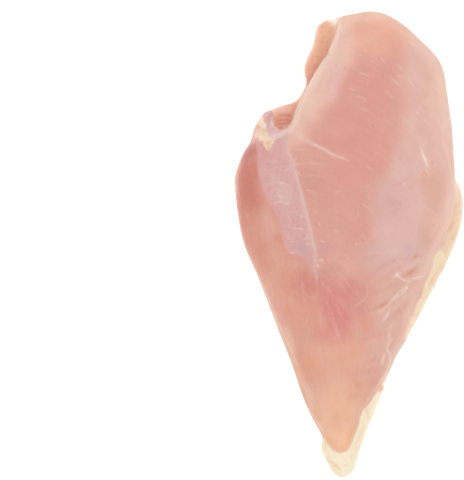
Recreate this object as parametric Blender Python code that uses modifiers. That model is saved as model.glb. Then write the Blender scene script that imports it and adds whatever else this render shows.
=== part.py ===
"""Raw chicken breast: one boned and skinned fillet that lies on its cut side, skin side up.

Metres, +Z up. +Y points to the wide shoulder end and -Y to the fat tip of the tail. The origin is
on the table, under the middle of the fillet. The flesh is laid up from lobes, one for each muscle
or fat roll, which are then joined and smoothed to a single body. A station is a place along the
fillet, from 0 at the tip of the tail to 1 at the shoulder end.
"""

import bisect
import math

import bmesh
import bpy

# Driving dimensions of the whole fillet, in metres
LENGTH = 0.190
WIDTH = 0.0928
THICKNESS = 0.0312

# Finish of the solid
GRAIN_SIZE = 0.0012        # cell of the remesh that joins the lobes
SMOOTHING_PASSES = 5
TRIANGLES = 7400
BELOW_TABLE = 0.0025       # how far each lobe reaches under the table before it is cut flat
LOBE_RINGS = 110
LOBE_SIDES = 56

# Outlines, seen from above: (station, share of the width from the middle line, + to the keel side)
FILLET_KEEL_EDGE = (
    (0.053, -0.027), (0.074, 0.019), (0.136, 0.070), (0.203, 0.162), (0.232, 0.187),
    (0.271, 0.219), (0.359, 0.281), (0.462, 0.368), (0.563, 0.452), (0.616, 0.471), (0.702, 0.464),
    (0.831, 0.434), (0.874, 0.419), (0.895, 0.400), (0.936, 0.322), (0.959, 0.270),
    (0.981, 0.213), (0.994, 0.162), (1.0, 0.100),
)
FILLET_WING_EDGE = (
    (0.053, -0.027), (0.066, -0.080), (0.098, -0.126), (0.166, -0.195), (0.252, -0.257),
    (0.423, -0.393), (0.509, -0.463), (0.563, -0.483), (0.606, -0.494), (0.638, -0.500),
    (0.663, -0.486), (0.698, -0.456), (0.717, -0.428), (0.731, -0.380), (0.745, -0.274),
    (0.763, -0.249), (0.786, -0.232), (0.838, -0.181), (0.882, -0.127), (0.909, -0.091),
    (0.951, -0.060), (0.983, -0.044), (0.989, -0.028), (0.994, 0.030), (1.0, 0.100),
)
FLAP_WING_EDGE = (
    (0.640, -0.200), (0.700, -0.300), (0.734, -0.378), (0.764, -0.387), (0.781, -0.361),
    (0.792, -0.321), (0.800, -0.269), (0.806, -0.230), (0.826, -0.200), (0.844, -0.182),
    (0.861, -0.191), (0.876, -0.194), (0.906, -0.173), (0.934, -0.149), (0.964, -0.138),
    (0.979, -0.103), (0.986, -0.014),
)
SHOULDER_WING_EDGE = (
    (0.541, -0.431), (0.595, -0.484), (0.638, -0.500), (0.663, -0.486), (0.698, -0.456),
    (0.723, -0.426), (0.747, -0.416), (0.766, -0.396), (0.775, -0.383), (0.786, -0.352),
)
SHOULDER_INNER_EDGE = (
    (0.541, -0.431), (0.563, -0.343), (0.616, -0.278), (0.681, -0.234), (0.730, -0.251),
    (0.746, -0.291), (0.756, -0.313), (0.766, -0.330), (0.775, -0.340), (0.786, -0.352),
)
KEEL_FAT_EDGE = (
    (0.240, 0.160), (0.260, 0.212), (0.284, 0.241), (0.338, 0.303), (0.423, 0.394),
    (0.486, 0.457), (0.535, 0.493), (0.561, 0.503), (0.591, 0.506), (0.616, 0.496),
    (0.632, 0.480), (0.645, 0.400),
)
TAIL_FAT_KEEL_EDGE = (
    (-0.002, -0.027), (0.002, -0.002), (0.015, 0.025), (0.050, 0.049), (0.083, 0.072),
    (0.123, 0.101), (0.145, 0.118), (0.185, 0.154), (0.200, 0.166), (0.215, 0.125),
)
TAIL_FAT_WING_EDGE = (
    (-0.002, -0.027), (0.001, -0.047), (0.010, -0.066), (0.039, -0.101), (0.055, -0.118),
    (0.067, -0.122), (0.083, -0.110), (0.115, -0.060), (0.177, 0.030), (0.215, 0.125),
)

# Heights above the table: (station, share of the thickness)
FILLET_CROWN = (
    (0.053, 0.150), (0.066, 0.260), (0.100, 0.330), (0.166, 0.420), (0.252, 0.560),
    (0.359, 0.730), (0.466, 0.880), (0.563, 0.960), (0.680, 1.000), (0.780, 1.000),
    (0.870, 0.960), (0.920, 0.880), (0.955, 0.770), (0.980, 0.620), (0.994, 0.460), (1.0, 0.290),
)
FILLET_KEEL_RIM = ((0.053, 0.150), (0.252, 0.280), (0.563, 0.350), (0.800, 0.330), (1.0, 0.290))
FILLET_WING_RIM = (
    (0.053, 0.150), (0.252, 0.200), (0.600, 0.260), (0.720, 0.320), (0.760, 0.560),
    (0.900, 0.580), (0.975, 0.480), (1.0, 0.290),
)
FLAP_CROWN = (
    (0.640, 0.220), (0.760, 0.240), (0.806, 0.270), (0.840, 0.380), (0.880, 0.460),
    (0.940, 0.440), (0.972, 0.360), (0.986, 0.220),
)
SHOULDER_CROWN = (
    (0.541, 0.300), (0.600, 0.560), (0.680, 0.660), (0.720, 0.620), (0.747, 0.530),
    (0.768, 0.430), (0.786, 0.260),
)
KEEL_FAT_CROWN = ((0.240, 0.200), (0.320, 0.320), (0.480, 0.400), (0.590, 0.430), (0.645, 0.250))
TAIL_FAT_CROWN = ((-0.002, 0.130), (0.020, 0.200), (0.070, 0.270), (0.130, 0.330), (0.215, 0.280))
FAT_RIM = 0.17             # height of the widest line of a fat roll
TAIL_RIM = 0.12            # the same at the tail
LOW_RIM = 0.22             # the same for the flap and the shoulder

# Where the highest line of the main muscle runs: (station, share of the width)
FILLET_CROWN_LINE = (
    (0.053, -0.027), (0.150, -0.050), (0.300, -0.040), (0.500, -0.020), (0.700, 0.010),
    (0.850, 0.040), (0.950, 0.070), (1.0, 0.100),
)

# Roundness of a section: 2 is an ellipse, more is fuller. The wing side of the main muscle is
# fuller above the notch, where it rolls over to the overhang, and tucks in under it.
TOP_FULLNESS = 2.25
UNDERSIDE_FULLNESS = 2.5
FILLET_WING_FULLNESS = ((0.053, 2.25), (0.680, 2.25), (0.750, 3.3), (0.940, 2.9), (1.0, 2.25))
FILLET_TUCK_FULLNESS = ((0.053, 2.5), (0.690, 2.5), (0.750, 1.6), (0.950, 1.7), (1.0, 2.2))

# The bed of the inner fillet, a shallow channel in the cut side
CHANNEL_PLACE = (0.090, 0.560)      # share of the width, station
CHANNEL_LENGTH = 0.105
CHANNEL_WIDTH = 0.026
CHANNEL_DEPTH = 0.0022
CHANNEL_TURN = math.radians(9)

FLESH_COLOUR = (0.73, 0.36, 0.29, 1.0)
FLESH_ROUGHNESS = 0.38


def clear_scene():
    """Removes what the opened file holds."""
    for thing in list(bpy.data.objects):
        bpy.data.objects.remove(thing, do_unlink=True)


def new_collection(name):
    """Adds an empty collection to the scene."""
    collection = bpy.data.collections.new(name)
    bpy.context.scene.collection.children.link(collection)
    return collection


def end_angle(station, first, last):
    """The station as an angle that crowds towards both ends, so that blunt ends come out round."""
    share = (station - first) / (last - first)
    return math.acos(max(-1.0, min(1.0, 1.0 - 2.0 * share)))


def slopes(places, values):
    """Slopes for a smooth curve through the points that never swings past them."""
    steps = [b - a for a, b in zip(places, places[1:])]
    rises = [(b - a) / step for a, b, step in zip(values, values[1:], steps)]
    inner = []
    for before, after in zip(rises, rises[1:]):
        inner.append(0.0 if before * after <= 0.0 else 2.0 * before * after / (before + after))
    return [rises[0]] + inner + [rises[-1]]


def curve_through(points, first, last):
    """A function of the station that runs smoothly through the given (station, value) points."""
    places = [end_angle(station, first, last) for station, _ in points]
    values = [value for _, value in points]
    leans = slopes(places, values)

    def value_at(station):
        place = end_angle(station, first, last)
        if place <= places[0]:
            return values[0]
        if place >= places[-1]:
            return values[-1]
        right = bisect.bisect_right(places, place)
        left = right - 1
        step = places[right] - places[left]
        t = (place - places[left]) / step
        lift = (2 * t**3 - 3 * t**2 + 1) * values[left] + (3 * t**2 - 2 * t**3) * values[right]
        sway = (t**3 - 2 * t**2 + t) * leans[left] + (t**3 - t**2) * leans[right]
        return lift + sway * step

    return value_at


def constant(value):
    """A profile that is the same all along."""
    return lambda station: value


def between(wing, keel, share):
    """The line that keeps the same share of the way from the wing edge to the keel edge."""
    return lambda station: wing(station) + share * (keel(station) - wing(station))


def lobe(name, collection, wing, keel, middle, crown, wing_rim, keel_rim,
         ends, wing_top=constant(TOP_FULLNESS), wing_under=constant(UNDERSIDE_FULLNESS)):
    """A closed lobe whose cross-sections change along it.

    wing, keel and middle are the edges and the highest line, seen from above. crown and the rims
    are the heights of those lines. wing_top and wing_under say how full the section is on the
    wing side. All are functions of the station, and ends is the first and last station.
    """
    first, last = ends
    bm = bmesh.new()
    bmesh.ops.create_uvsphere(bm, u_segments=LOBE_SIDES, v_segments=LOBE_RINGS, radius=1.0)
    for vert in bm.verts:
        station = first + (last - first) * (1.0 + vert.co.z) / 2.0
        girth = math.hypot(vert.co.x, vert.co.y)
        across = vert.co.x / girth if girth > 1e-6 else 0.0
        upward = vert.co.y / girth if girth > 1e-6 else 0.0
        if across > 0.0:
            edge, rim = keel(station), keel_rim(station) * THICKNESS
            fullness = TOP_FULLNESS if upward >= 0.0 else UNDERSIDE_FULLNESS
        else:
            edge, rim = wing(station), wing_rim(station) * THICKNESS
            fullness = wing_top(station) if upward >= 0.0 else wing_under(station)
        peak = crown(station) * THICKNESS if upward >= 0.0 else -BELOW_TABLE
        place = middle(station)
        vert.co.x = (place + (edge - place) * abs(across) ** (2.0 / fullness)) * WIDTH
        vert.co.y = (station - 0.5) * LENGTH
        vert.co.z = rim + (peak - rim) * abs(upward) ** (2.0 / fullness)
    bmesh.ops.recalc_face_normals(bm, faces=bm.faces)
    mesh = bpy.data.meshes.new(name)
    bm.to_mesh(mesh)
    bm.free()
    thing = bpy.data.objects.new(name, mesh)
    collection.objects.link(thing)
    return thing


def fillet_lobe(collection):
    """The main muscle, whose wing side overhangs the notch."""
    ends = (FILLET_CROWN[0][0], FILLET_CROWN[-1][0])
    return lobe(
        "fillet", collection,
        wing=curve_through(FILLET_WING_EDGE, *ends),
        keel=curve_through(FILLET_KEEL_EDGE, *ends),
        middle=curve_through(FILLET_CROWN_LINE, *ends),
        crown=curve_through(FILLET_CROWN, *ends),
        wing_rim=curve_through(FILLET_WING_RIM, *ends),
        keel_rim=curve_through(FILLET_KEEL_RIM, *ends),
        ends=ends,
        wing_top=curve_through(FILLET_WING_FULLNESS, *ends),
        wing_under=curve_through(FILLET_TUCK_FULLNESS, *ends),
    )


def flap_lobe(collection):
    """The lower layer that shows beside the overhang, and the floor of the pocket below it."""
    ends = (FLAP_WING_EDGE[0][0], FLAP_WING_EDGE[-1][0])
    wing = curve_through(FLAP_WING_EDGE, *ends)
    depth = 0.34

    def keel(station):
        return wing(station) + depth * math.sin(end_angle(station, *ends))

    return lobe(
        "lower_flap", collection, wing, keel, between(wing, keel, 0.16),
        crown=curve_through(FLAP_CROWN, *ends),
        wing_rim=constant(LOW_RIM), keel_rim=constant(LOW_RIM), ends=ends,
    )


def shoulder_lobe(collection):
    """The blunt lobe on the wing side that stands beside the pocket."""
    ends = (SHOULDER_WING_EDGE[0][0], SHOULDER_WING_EDGE[-1][0])
    wing = curve_through(SHOULDER_WING_EDGE, *ends)
    keel = curve_through(SHOULDER_INNER_EDGE, *ends)
    return lobe(
        "shoulder", collection, wing, keel, between(wing, keel, 0.60),
        crown=curve_through(SHOULDER_CROWN, *ends),
        wing_rim=constant(LOW_RIM), keel_rim=constant(LOW_RIM), ends=ends,
    )


def keel_fat_lobe(collection):
    """The roll of fat that sticks out under the keel edge."""
    ends = (KEEL_FAT_EDGE[0][0], KEEL_FAT_EDGE[-1][0])
    edge = curve_through(KEEL_FAT_EDGE, *ends)
    reach = 0.20

    def wing(station):
        return edge(station) - reach * math.sin(end_angle(station, *ends))

    return lobe(
        "keel_fat", collection, wing, edge, between(wing, edge, 0.62),
        crown=curve_through(KEEL_FAT_CROWN, *ends),
        wing_rim=constant(FAT_RIM), keel_rim=constant(FAT_RIM), ends=ends,
    )


def tail_fat_lobe(collection):
    """The fat that edges the tail and wraps its tip."""
    ends = (TAIL_FAT_WING_EDGE[0][0], TAIL_FAT_WING_EDGE[-1][0])
    wing = curve_through(TAIL_FAT_WING_EDGE, *ends)
    keel = curve_through(TAIL_FAT_KEEL_EDGE, *ends)
    return lobe(
        "tail_fat", collection, wing, keel, between(wing, keel, 0.55),
        crown=curve_through(TAIL_FAT_CROWN, *ends),
        wing_rim=constant(TAIL_RIM), keel_rim=constant(TAIL_RIM), ends=ends,
    )


def table_cutter(collection):
    """A block under the table, which cuts the lobes flat."""
    bm = bmesh.new()
    bmesh.ops.create_cube(bm, size=1.0)
    depth = 4.0 * BELOW_TABLE
    for vert in bm.verts:
        vert.co.x *= 2.0 * WIDTH
        vert.co.y *= 2.0 * LENGTH
        vert.co.z = (vert.co.z - 0.5) * depth
    mesh = bpy.data.meshes.new("table_cutter")
    bm.to_mesh(mesh)
    bm.free()
    return add_cutter("table_cutter", mesh, collection)


def channel_cutter(collection):
    """A long flat ellipsoid, half sunk in the cut side, for the bed of the inner fillet."""
    bm = bmesh.new()
    bmesh.ops.create_uvsphere(bm, u_segments=36, v_segments=18, radius=1.0)
    across, station = CHANNEL_PLACE
    for vert in bm.verts:
        x = vert.co.x * CHANNEL_WIDTH / 2.0
        y = vert.co.y * CHANNEL_LENGTH / 2.0
        vert.co.x = x * math.cos(CHANNEL_TURN) - y * math.sin(CHANNEL_TURN) + across * WIDTH
        vert.co.y = x * math.sin(CHANNEL_TURN) + y * math.cos(CHANNEL_TURN) + (station - 0.5) * LENGTH
        vert.co.z *= CHANNEL_DEPTH
    mesh = bpy.data.meshes.new("channel_cutter")
    bm.to_mesh(mesh)
    bm.free()
    return add_cutter("channel_cutter", mesh, collection)


def add_cutter(name, mesh, collection):
    """Links a shape that only cuts, and is shown as wires."""
    cutter = bpy.data.objects.new(name, mesh)
    cutter.display_type = "WIRE"
    cutter.hide_render = True
    collection.objects.link(cutter)
    return cutter


def apply_modifiers(thing):
    """Makes the object's evaluated shape its mesh, and drops its modifiers."""
    evaluated = thing.evaluated_get(bpy.context.evaluated_depsgraph_get())
    mesh = bpy.data.meshes.new_from_object(evaluated)
    thing.modifiers.clear()
    thing.data = mesh


def join_lobes(body, others):
    """Joins the lobes to one body with one union, then removes the loose ones."""
    union = body.modifiers.new("union", "BOOLEAN")
    union.operation = "UNION"
    union.operand_type = "COLLECTION"
    union.collection = others
    union.solver = "EXACT"
    apply_modifiers(body)
    for thing in list(others.objects):
        bpy.data.objects.remove(thing, do_unlink=True)


def smooth_body(body):
    """Melts the seams between the lobes into folds, and thins the mesh out again."""
    remesh = body.modifiers.new("remesh", "REMESH")
    remesh.mode = "VOXEL"
    remesh.voxel_size = GRAIN_SIZE
    smooth = body.modifiers.new("smooth", "SMOOTH")
    smooth.factor = 0.5
    smooth.iterations = SMOOTHING_PASSES
    apply_modifiers(body)
    body.data.calc_loop_triangles()
    thin = body.modifiers.new("thin", "DECIMATE")
    thin.ratio = TRIANGLES / len(body.data.loop_triangles)
    apply_modifiers(body)


def cut_flat(body, cutters):
    """Cuts the body flat at the table, and hollows the channel."""
    cut = body.modifiers.new("cut", "BOOLEAN")
    cut.operation = "DIFFERENCE"
    cut.operand_type = "COLLECTION"
    cut.collection = cutters
    cut.solver = "EXACT"


def flesh_material():
    """Pale salmon flesh with a wet surface."""
    material = bpy.data.materials.new("raw_flesh")
    material.use_nodes = True
    shader = material.node_tree.nodes["Principled BSDF"]
    shader.inputs["Base Color"].default_value = FLESH_COLOUR
    shader.inputs["Roughness"].default_value = FLESH_ROUGHNESS
    shader.inputs["Metallic"].default_value = 0.0
    return material


def main():
    clear_scene()
    parts = new_collection("raw_chicken_breast")
    lobes = new_collection("lobes")
    cutters = new_collection("cutters")
    body = fillet_lobe(parts)
    flap_lobe(lobes)
    shoulder_lobe(lobes)
    keel_fat_lobe(lobes)
    tail_fat_lobe(lobes)
    join_lobes(body, lobes)
    smooth_body(body)
    table_cutter(cutters)
    channel_cutter(cutters)
    cut_flat(body, cutters)
    body.name = "chicken_breast"
    body.data.materials.clear()
    body.data.materials.append(flesh_material())
    body.data.shade_smooth()


main()
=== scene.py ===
"""A raw chicken breast fillet, smooth side up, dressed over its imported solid.

Places on the fillet are given on its plan in millimetres: x across it and y along it, with the
tail at -y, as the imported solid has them. Heights are taken from the surface itself.
"""

import math

import bmesh
import bpy
import numpy as np
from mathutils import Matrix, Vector, noise


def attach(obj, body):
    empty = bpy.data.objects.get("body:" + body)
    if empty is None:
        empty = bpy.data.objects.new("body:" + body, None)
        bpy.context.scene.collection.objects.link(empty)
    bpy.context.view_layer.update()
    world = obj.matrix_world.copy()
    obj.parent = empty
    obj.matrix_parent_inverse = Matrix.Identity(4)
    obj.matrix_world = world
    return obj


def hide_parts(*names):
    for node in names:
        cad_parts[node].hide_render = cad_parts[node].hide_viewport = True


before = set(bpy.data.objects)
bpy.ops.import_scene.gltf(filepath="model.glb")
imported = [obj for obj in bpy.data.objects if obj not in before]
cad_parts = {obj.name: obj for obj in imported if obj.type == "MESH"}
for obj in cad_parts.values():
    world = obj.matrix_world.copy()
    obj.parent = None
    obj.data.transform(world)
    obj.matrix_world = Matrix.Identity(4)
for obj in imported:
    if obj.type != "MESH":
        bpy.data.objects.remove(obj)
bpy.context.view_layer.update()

MM = 0.001

# The picture's frame, and the camera that looks straight down on it
FRAME_PIXELS = (464, 480)
MM_PER_PIXEL = 0.40729
FRAME_CENTRE = (-47.3, 1.7)
CAMERA_HEIGHT = 6000.0
FOCUS_HEIGHT = 8.0
SENSOR = 36.0

# The flesh's mesh: its cell, and how often it is smoothed
CELL = 0.76
SMOOTHING = 8

# How much more than a thin piece needs is kept beside it while it is made
SPARE = 0.8

# The share of the light that soaks into bare flesh
SOAKING = 0.35

# Where the fibres bend round on the plan, and how far they run there for each radian
FIBRE_HUB = (-23.7, -35.0)
HUB_RUN = 60.0

# Where the fibres meet, how far they run there for each radian, and the shifts that join both courses
FIBRE_MEETING = (-2.0, -100.0)
MEETING_RUN = 58.0
MEETING_SHIFT = (94.0, 19.4)

# The heights between which the rolled side ends and the flap and the pocket begin
LOW_HEIGHTS = (18.0, 15.5)

# The soft boxes of light: name, side, ahead and watts; then their places and size in metres
BOXES = (
    ("left_box", -1.0, 0.0, 1.9), ("right_box", 1.0, 0.0, 1.9), ("top_box", 0.0, 1.0, 1.8),
    ("low_box", 0.0, -1.0, 1.8),
)
BOX_REACH = 0.62
BOX_HEIGHT = 0.60
BOX_SIDE = 0.8

# The room's own light
ROOM_COLOUR = (1.0, 0.99, 0.98, 1.0)
ROOM_LIGHT = 0.40

# The floor: its reach in metres, its drop under the fillet in millimetres, its white and its glow
FLOOR_REACH = 3.0
FLOOR_DROP = 0.1
FLOOR_WHITE = 0.93
FLOOR_GLOW = 0.45

# The tendon down the wing side, the one that crosses the crown, and the lines beside the pocket
TENDON = (
    (-25.1, 45.7), (-25.1, 41.5), (-23.9, 36.8), (-22.4, 33.0), (-21.5, 28.8), (-20.0, 24.0),
    (-18.8, 19.3), (-17.7, 15.3), (-16.7, 11.3), (-15.8, 7.7), (-14.9, 3.3), (-14.0, -0.3),
    (-13.4, -4.0), (-13.8, -7.8), (-13.5, -10.3), (-13.1, -13.3), (-12.7, -16.4),
)
CROSS_TENDON = (
    (-24.4, 45.6), (-21.3, 45.2), (-19.2, 43.5), (-17.0, 42.1), (-14.4, 40.8), (-11.5, 39.3),
    (-9.0, 37.9), (-6.8, 36.4), (-3.2, 35.2), (-0.2, 34.2),
)
TENDON_ROOT = ((-30.8, 42.1), (-29.7, 42.8), (-28.2, 43.2), (-26.4, 44.2), (-25.0, 45.3))
POCKET_RIM = (
    (-31.3, 54.6), (-30.4, 52.6), (-30.1, 50.8), (-30.4, 48.6), (-29.9, 47.4), (-28.6, 46.5),
    (-27.0, 46.1), (-25.0, 46.6),
)
MEMBRANE_FOLD = ((-36.6, 48.6), (-34.9, 48.2), (-33.8, 47.2), (-32.6, 46.3), (-31.5, 47.0), (-30.4, 47.8))

# Short frayed ends beside the tendon and on the silver skin, and the knot near the tendon's low end
FRAYS = (
    ((-21.3, 35.0), (-21.9, 33.5)),
    ((-21.7, 32.4), (-19.5, 32.6)),
    ((-21.2, 29.5), (-19.4, 28.2)),
    ((-21.0, 12.4), (-19.2, 11.3), (-17.0, 11.0)),
    ((-23.9, 6.4), (-22.1, 6.7), (-19.2, 6.1), (-16.8, 6.2)),
    ((-18.4, 1.9), (-16.2, 3.0)),
    ((-17.3, 0.4), (-14.8, -0.7)),
    ((-23.9, -3.2), (-21.9, -3.6)),
    ((-28.6, 25.5), (-27.2, 24.4)),
    ((-25.7, 16.8), (-24.8, 16.2), (-23.9, 17.0)),
    ((-12.2, 1.7), (-9.3, 0.8)),
    ((-11.9, 8.8), (-11.7, 7.3)),
    ((-5.7, 5.5), (-4.2, 5.1)),
)
KNOT = (
    ((-13.1, -6.8), (-11.8, -6.6), (-10.9, -6.3), (-10.4, -7.1)),
    ((-12.7, -8.3), (-11.9, -9.3)),
)

# Pale threads of the skin side
CROWN_THREADS = (
    ((-0.3, 63.5), (3.2, 62.0)),
    ((2.6, 60.2), (5.4, 59.7), (7.0, 58.8), (6.5, 58.0)),
    ((3.9, 54.9), (5.7, 55.3), (7.9, 53.7)),
    ((14.6, 61.8), (16.5, 60.9), (17.9, 59.3)),
    ((19.9, 72.6), (22.1, 70.8)),
    ((19.2, 68.6), (21.7, 67.5), (22.8, 67.8)),
    ((17.4, 66.9), (19.9, 65.5), (21.4, 64.6)),
    ((23.5, 68.2), (26.1, 64.6), (27.6, 63.1)),
    ((5.9, 78.8), (7.9, 78.4)),
    ((6.8, 82.9), (8.6, 81.7)),
    ((13.0, 75.7), (14.5, 74.0)),
    ((26.8, 54.4), (29.0, 52.6)),
    ((27.6, 56.9), (30.1, 54.4)),
    ((30.5, 50.8), (32.1, 48.9)),
    ((35.7, 51.8), (37.0, 50.0)),
    ((37.0, 48.2), (38.3, 46.8), (38.1, 45.3)),
    ((24.3, 82.0), (27.6, 80.6)),
    ((3.9, 69.7), (8.6, 68.2)),
)
MIDDLE_THREADS = (
    ((5.7, 16.2), (8.6, 14.6)),
    ((5.4, 3.9), (7.4, 2.6)),
    ((6.6, 32.1), (10.1, 29.9)),
    ((6.6, 23.7), (9.7, 22.2)),
    ((16.3, 33.2), (18.5, 31.3)),
    ((-3.4, 35.3), (-1.7, 34.9), (-0.5, 34.1)),
    ((7.5, 19.7), (9.4, 18.6)),
    ((29.0, 17.5), (31.6, 14.6), (34.5, 12.8), (36.6, 11.0)),
    ((38.1, 41.9), (39.6, 38.2), (40.6, 34.2), (42.1, 27.0), (43.2, 21.5)),
    ((-21.7, 38.2), (-19.2, 38.6), (-16.2, 38.6)),
    ((-20.6, 32.4), (-17.0, 32.9), (-13.3, 32.8), (-9.0, 31.3)),
    ((-17.7, 28.1), (-14.1, 27.9), (-10.4, 27.2)),
    ((-17.3, 22.2), (-15.2, 21.5), (-12.6, 20.2)),
    ((-16.2, 18.6), (-14.4, 17.7), (-12.6, 16.4)),
    ((-15.5, 14.2), (-13.3, 13.1), (-10.8, 12.1)),
    ((-6.1, 20.6), (-4.2, 21.3), (-2.4, 21.9)),
)
CURLED_THREADS = (
    ((-26.4, -6.0), (-27.2, -7.8), (-26.6, -9.6)),
    ((-21.1, -7.8), (-21.5, -9.6)),
    ((-20.2, -14.8), (-18.6, -14.9), (-18.9, -16.5), (-18.4, -19.1), (-18.0, -22.0), (-17.5, -24.9)),
    ((-22.2, -18.7), (-23.3, -20.5), (-23.8, -22.7), (-23.5, -24.5)),
    ((-26.4, -19.8), (-26.1, -22.7), (-26.4, -26.0)),
    ((-16.6, -21.3), (-14.9, -21.8), (-12.7, -20.7), (-12.4, -19.8)),
    ((-11.3, -14.7), (-9.8, -16.9)),
    ((-8.4, -17.8), (-6.9, -18.9)),
    ((-16.7, -29.6), (-17.5, -33.3)),
    ((-15.3, -34.3), (-16.7, -38.0), (-17.5, -41.6), (-18.6, -45.3)),
    ((6.0, -14.3), (7.6, -16.5), (7.7, -20.5), (6.5, -22.7), (2.9, -24.9), (1.8, -27.1)),
    ((-6.7, -63.3), (-6.1, -64.4)),
)
BLUSH_THREADS = (
    ((-10.9, -16.5), (-6.5, -20.1), (-2.1, -26.0)),
    ((-9.4, -23.1), (-6.5, -29.7), (-2.1, -40.7)),
    ((-5.0, -19.6), (-1.8, -24.4), (0.6, -29.4)),
    ((-8.0, -19.0), (-4.6, -24.5), (-1.4, -32.0)),
    ((-10.6, -20.0), (-7.4, -26.0), (-4.4, -34.0)),
    ((-8.9, -25.3), (-8.0, -27.8), (-6.6, -31.8), (-5.1, -35.1), (-3.7, -38.7), (-2.7, -41.6)),
    ((-7.3, -23.1), (-5.1, -26.0), (-2.9, -29.6), (-1.5, -31.4)),
    ((-5.5, -20.5), (-3.7, -22.7), (-2.2, -25.3), (-0.4, -27.8)),
    ((-3.3, -21.6), (-0.7, -25.6)),
    ((-6.2, -10.3), (-3.3, -12.5), (-1.1, -15.1), (1.1, -17.6), (3.3, -20.5)),
    ((-8.4, -6.3), (-5.1, -9.6)),
    ((-5.8, -6.3), (-2.9, -7.4), (-0.4, -10.0)),
    ((-11.7, -25.6), (-11.3, -31.4), (-10.9, -33.3)),
)
KEEL_THREADS = (
    ((37.0, 48.0), (38.0, 47.4), (38.2, 45.4)),
    ((33.5, 42.2), (35.5, 45.0), (37.6, 46.4)),
    ((38.2, 45.4), (39.4, 39.0), (41.4, 32.3), (43.1, 24.1)),
    ((32.9, 54.3), (35.0, 52.6), (36.6, 50.2)),
)
WING_RIM_LINES = (
    (
        (-35.3, -15.8), (-33.3, -20.2), (-31.3, -24.2), (-29.1, -30.0), (-27.3, -34.3), (-25.5, -38.7),
        (-22.9, -43.8), (-20.7, -49.6), (-19.7, -53.3),
    ),
    ((-18.1, -63.1), (-16.3, -66.7), (-14.2, -70.1), (-11.9, -73.7), (-9.3, -77.1)),
)

# Veins near the keel, and the small star where they meet
STAR = (
    ((18.4, -13.0), (21.0, -12.2)),
    ((19.5, -11.2), (20.3, -13.6)),
)
KEEL_VEIN = ((29.4, 39.3), (29.9, 37.5), (30.6, 35.3), (31.7, 33.2), (32.1, 31.7), (31.7, 30.2))
VEIN_TIP = ((30.8, 29.9), (32.1, 29.2), (32.8, 27.7))
FORK_VEINS = (
    ((20.0, -12.0), (19.4, -13.1), (20.7, -13.3), (21.3, -14.2), (22.7, -14.6), (24.2, -14.9)),
    ((23.5, -13.9), (25.1, -14.5), (24.6, -15.5), (23.5, -14.9)),
    ((24.8, -14.5), (26.4, -14.1), (27.5, -13.6), (30.0, -13.1), (30.6, -13.3)),
    (
        (24.6, -15.5), (23.5, -16.7), (22.7, -18.0), (21.3, -19.1), (19.5, -20.9), (17.7, -22.7),
        (15.8, -24.9), (14.0, -26.7), (12.6, -27.3),
    ),
    ((23.8, -18.3), (20.9, -20.9), (18.7, -22.7)),
    ((16.9, -26.0), (15.8, -29.3), (14.0, -31.4)),
)
LOW_VEINS = (
    (
        (19.7, -31.3), (18.0, -32.5), (16.7, -34.7), (16.4, -36.2), (16.7, -38.7), (16.4, -40.5),
        (15.8, -42.0), (15.5, -43.1), (16.6, -43.8), (16.9, -45.3), (16.9, -47.8), (16.4, -49.6),
        (15.8, -51.4), (14.4, -54.0), (12.6, -56.9), (11.1, -59.4),
    ),
    ((15.5, -43.6), (14.5, -45.6), (14.0, -47.4), (13.5, -49.1)),
    ((16.7, -39.3), (17.8, -38.7)),
)

# Folds, sunk and darkened with painted shade but for the pale ones, which are raised and lightened with
# painted highlights, and the stripes in the pocket
ORANGE_FOLDS = (
    ((11.5, -26.0), (13.9, -25.2), (17.0, -23.3)),
    ((22.9, -13.1), (25.2, -11.2), (27.2, -9.6)),
    ((26.0, -5.7), (28.2, -4.5)),
    ((13.2, -58.4), (13.4, -59.6)),
)
FAINT_FOLDS = (
    ((3.0, 5.9), (7.2, 7.0), (12.0, 9.2)),
    ((17.0, 16.6), (20.0, 17.2)),
    ((16.7, 23.7), (22.6, 25.6), (27.0, 29.0)),
)
SOFT_FOLDS = (
    ((7.4, -5.7), (12.7, -3.4)),
    ((9.7, -12.0), (15.2, -7.7), (20.5, -7.0), (26.0, -5.5), (30.0, -4.1)),
    ((8.8, -22.1), (14.3, -17.8), (19.4, -15.5)),
    ((1.0, -28.8), (8.0, -26.4), (12.7, -25.6), (17.0, -23.3), (21.3, -19.4)),
    ((16.6, -31.1), (21.3, -26.4), (24.4, -24.1)),
    ((3.8, -39.1), (9.7, -37.6), (14.8, -36.4)),
    ((7.7, -52.0), (11.7, -50.1)),
    ((7.0, -48.0), (12.4, -46.6)),
    ((22.9, -13.1), (25.2, -11.2), (28.4, -8.6)),
    ((-18.2, -42.3), (-19.1, -46.0)),
)
FOLD_HIGHLIGHTS = (
    ((9.1, -15.0), (14.6, -11.3), (19.7, -7.7), (24.9, -5.8), (30.7, -3.3)),
    ((10.2, -21.6), (14.6, -17.2), (20.5, -12.1), (27.1, -7.7), (31.5, -6.2)),
    ((16.8, -28.9), (21.2, -23.1), (25.6, -18.7), (28.5, -15.7)),
    ((7.2, -4.0), (14.6, -3.3), (21.9, -2.9)),
)
ROLLED_FOLDS = (
    ((-6.3, 70.4), (-7.2, 67.4), (-7.8, 64.8), (-9.7, 60.3)),
    ((-10.8, 66.8), (-11.8, 64.0), (-13.6, 60.6)),
    ((-2.6, 66.4), (-4.6, 62.2)),
)
POCKET_STRIPES = (
    ((-28.7, 52.5), (-26.4, 52.6), (-24.4, 52.1), (-22.7, 52.5)),
    ((-29.6, 50.4), (-28.4, 50.0), (-26.2, 50.6), (-24.9, 50.3)),
    ((-28.7, 48.8), (-27.4, 48.9), (-26.1, 49.2), (-25.2, 48.6)),
    ((-28.2, 47.3), (-27.0, 47.4)),
)

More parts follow.
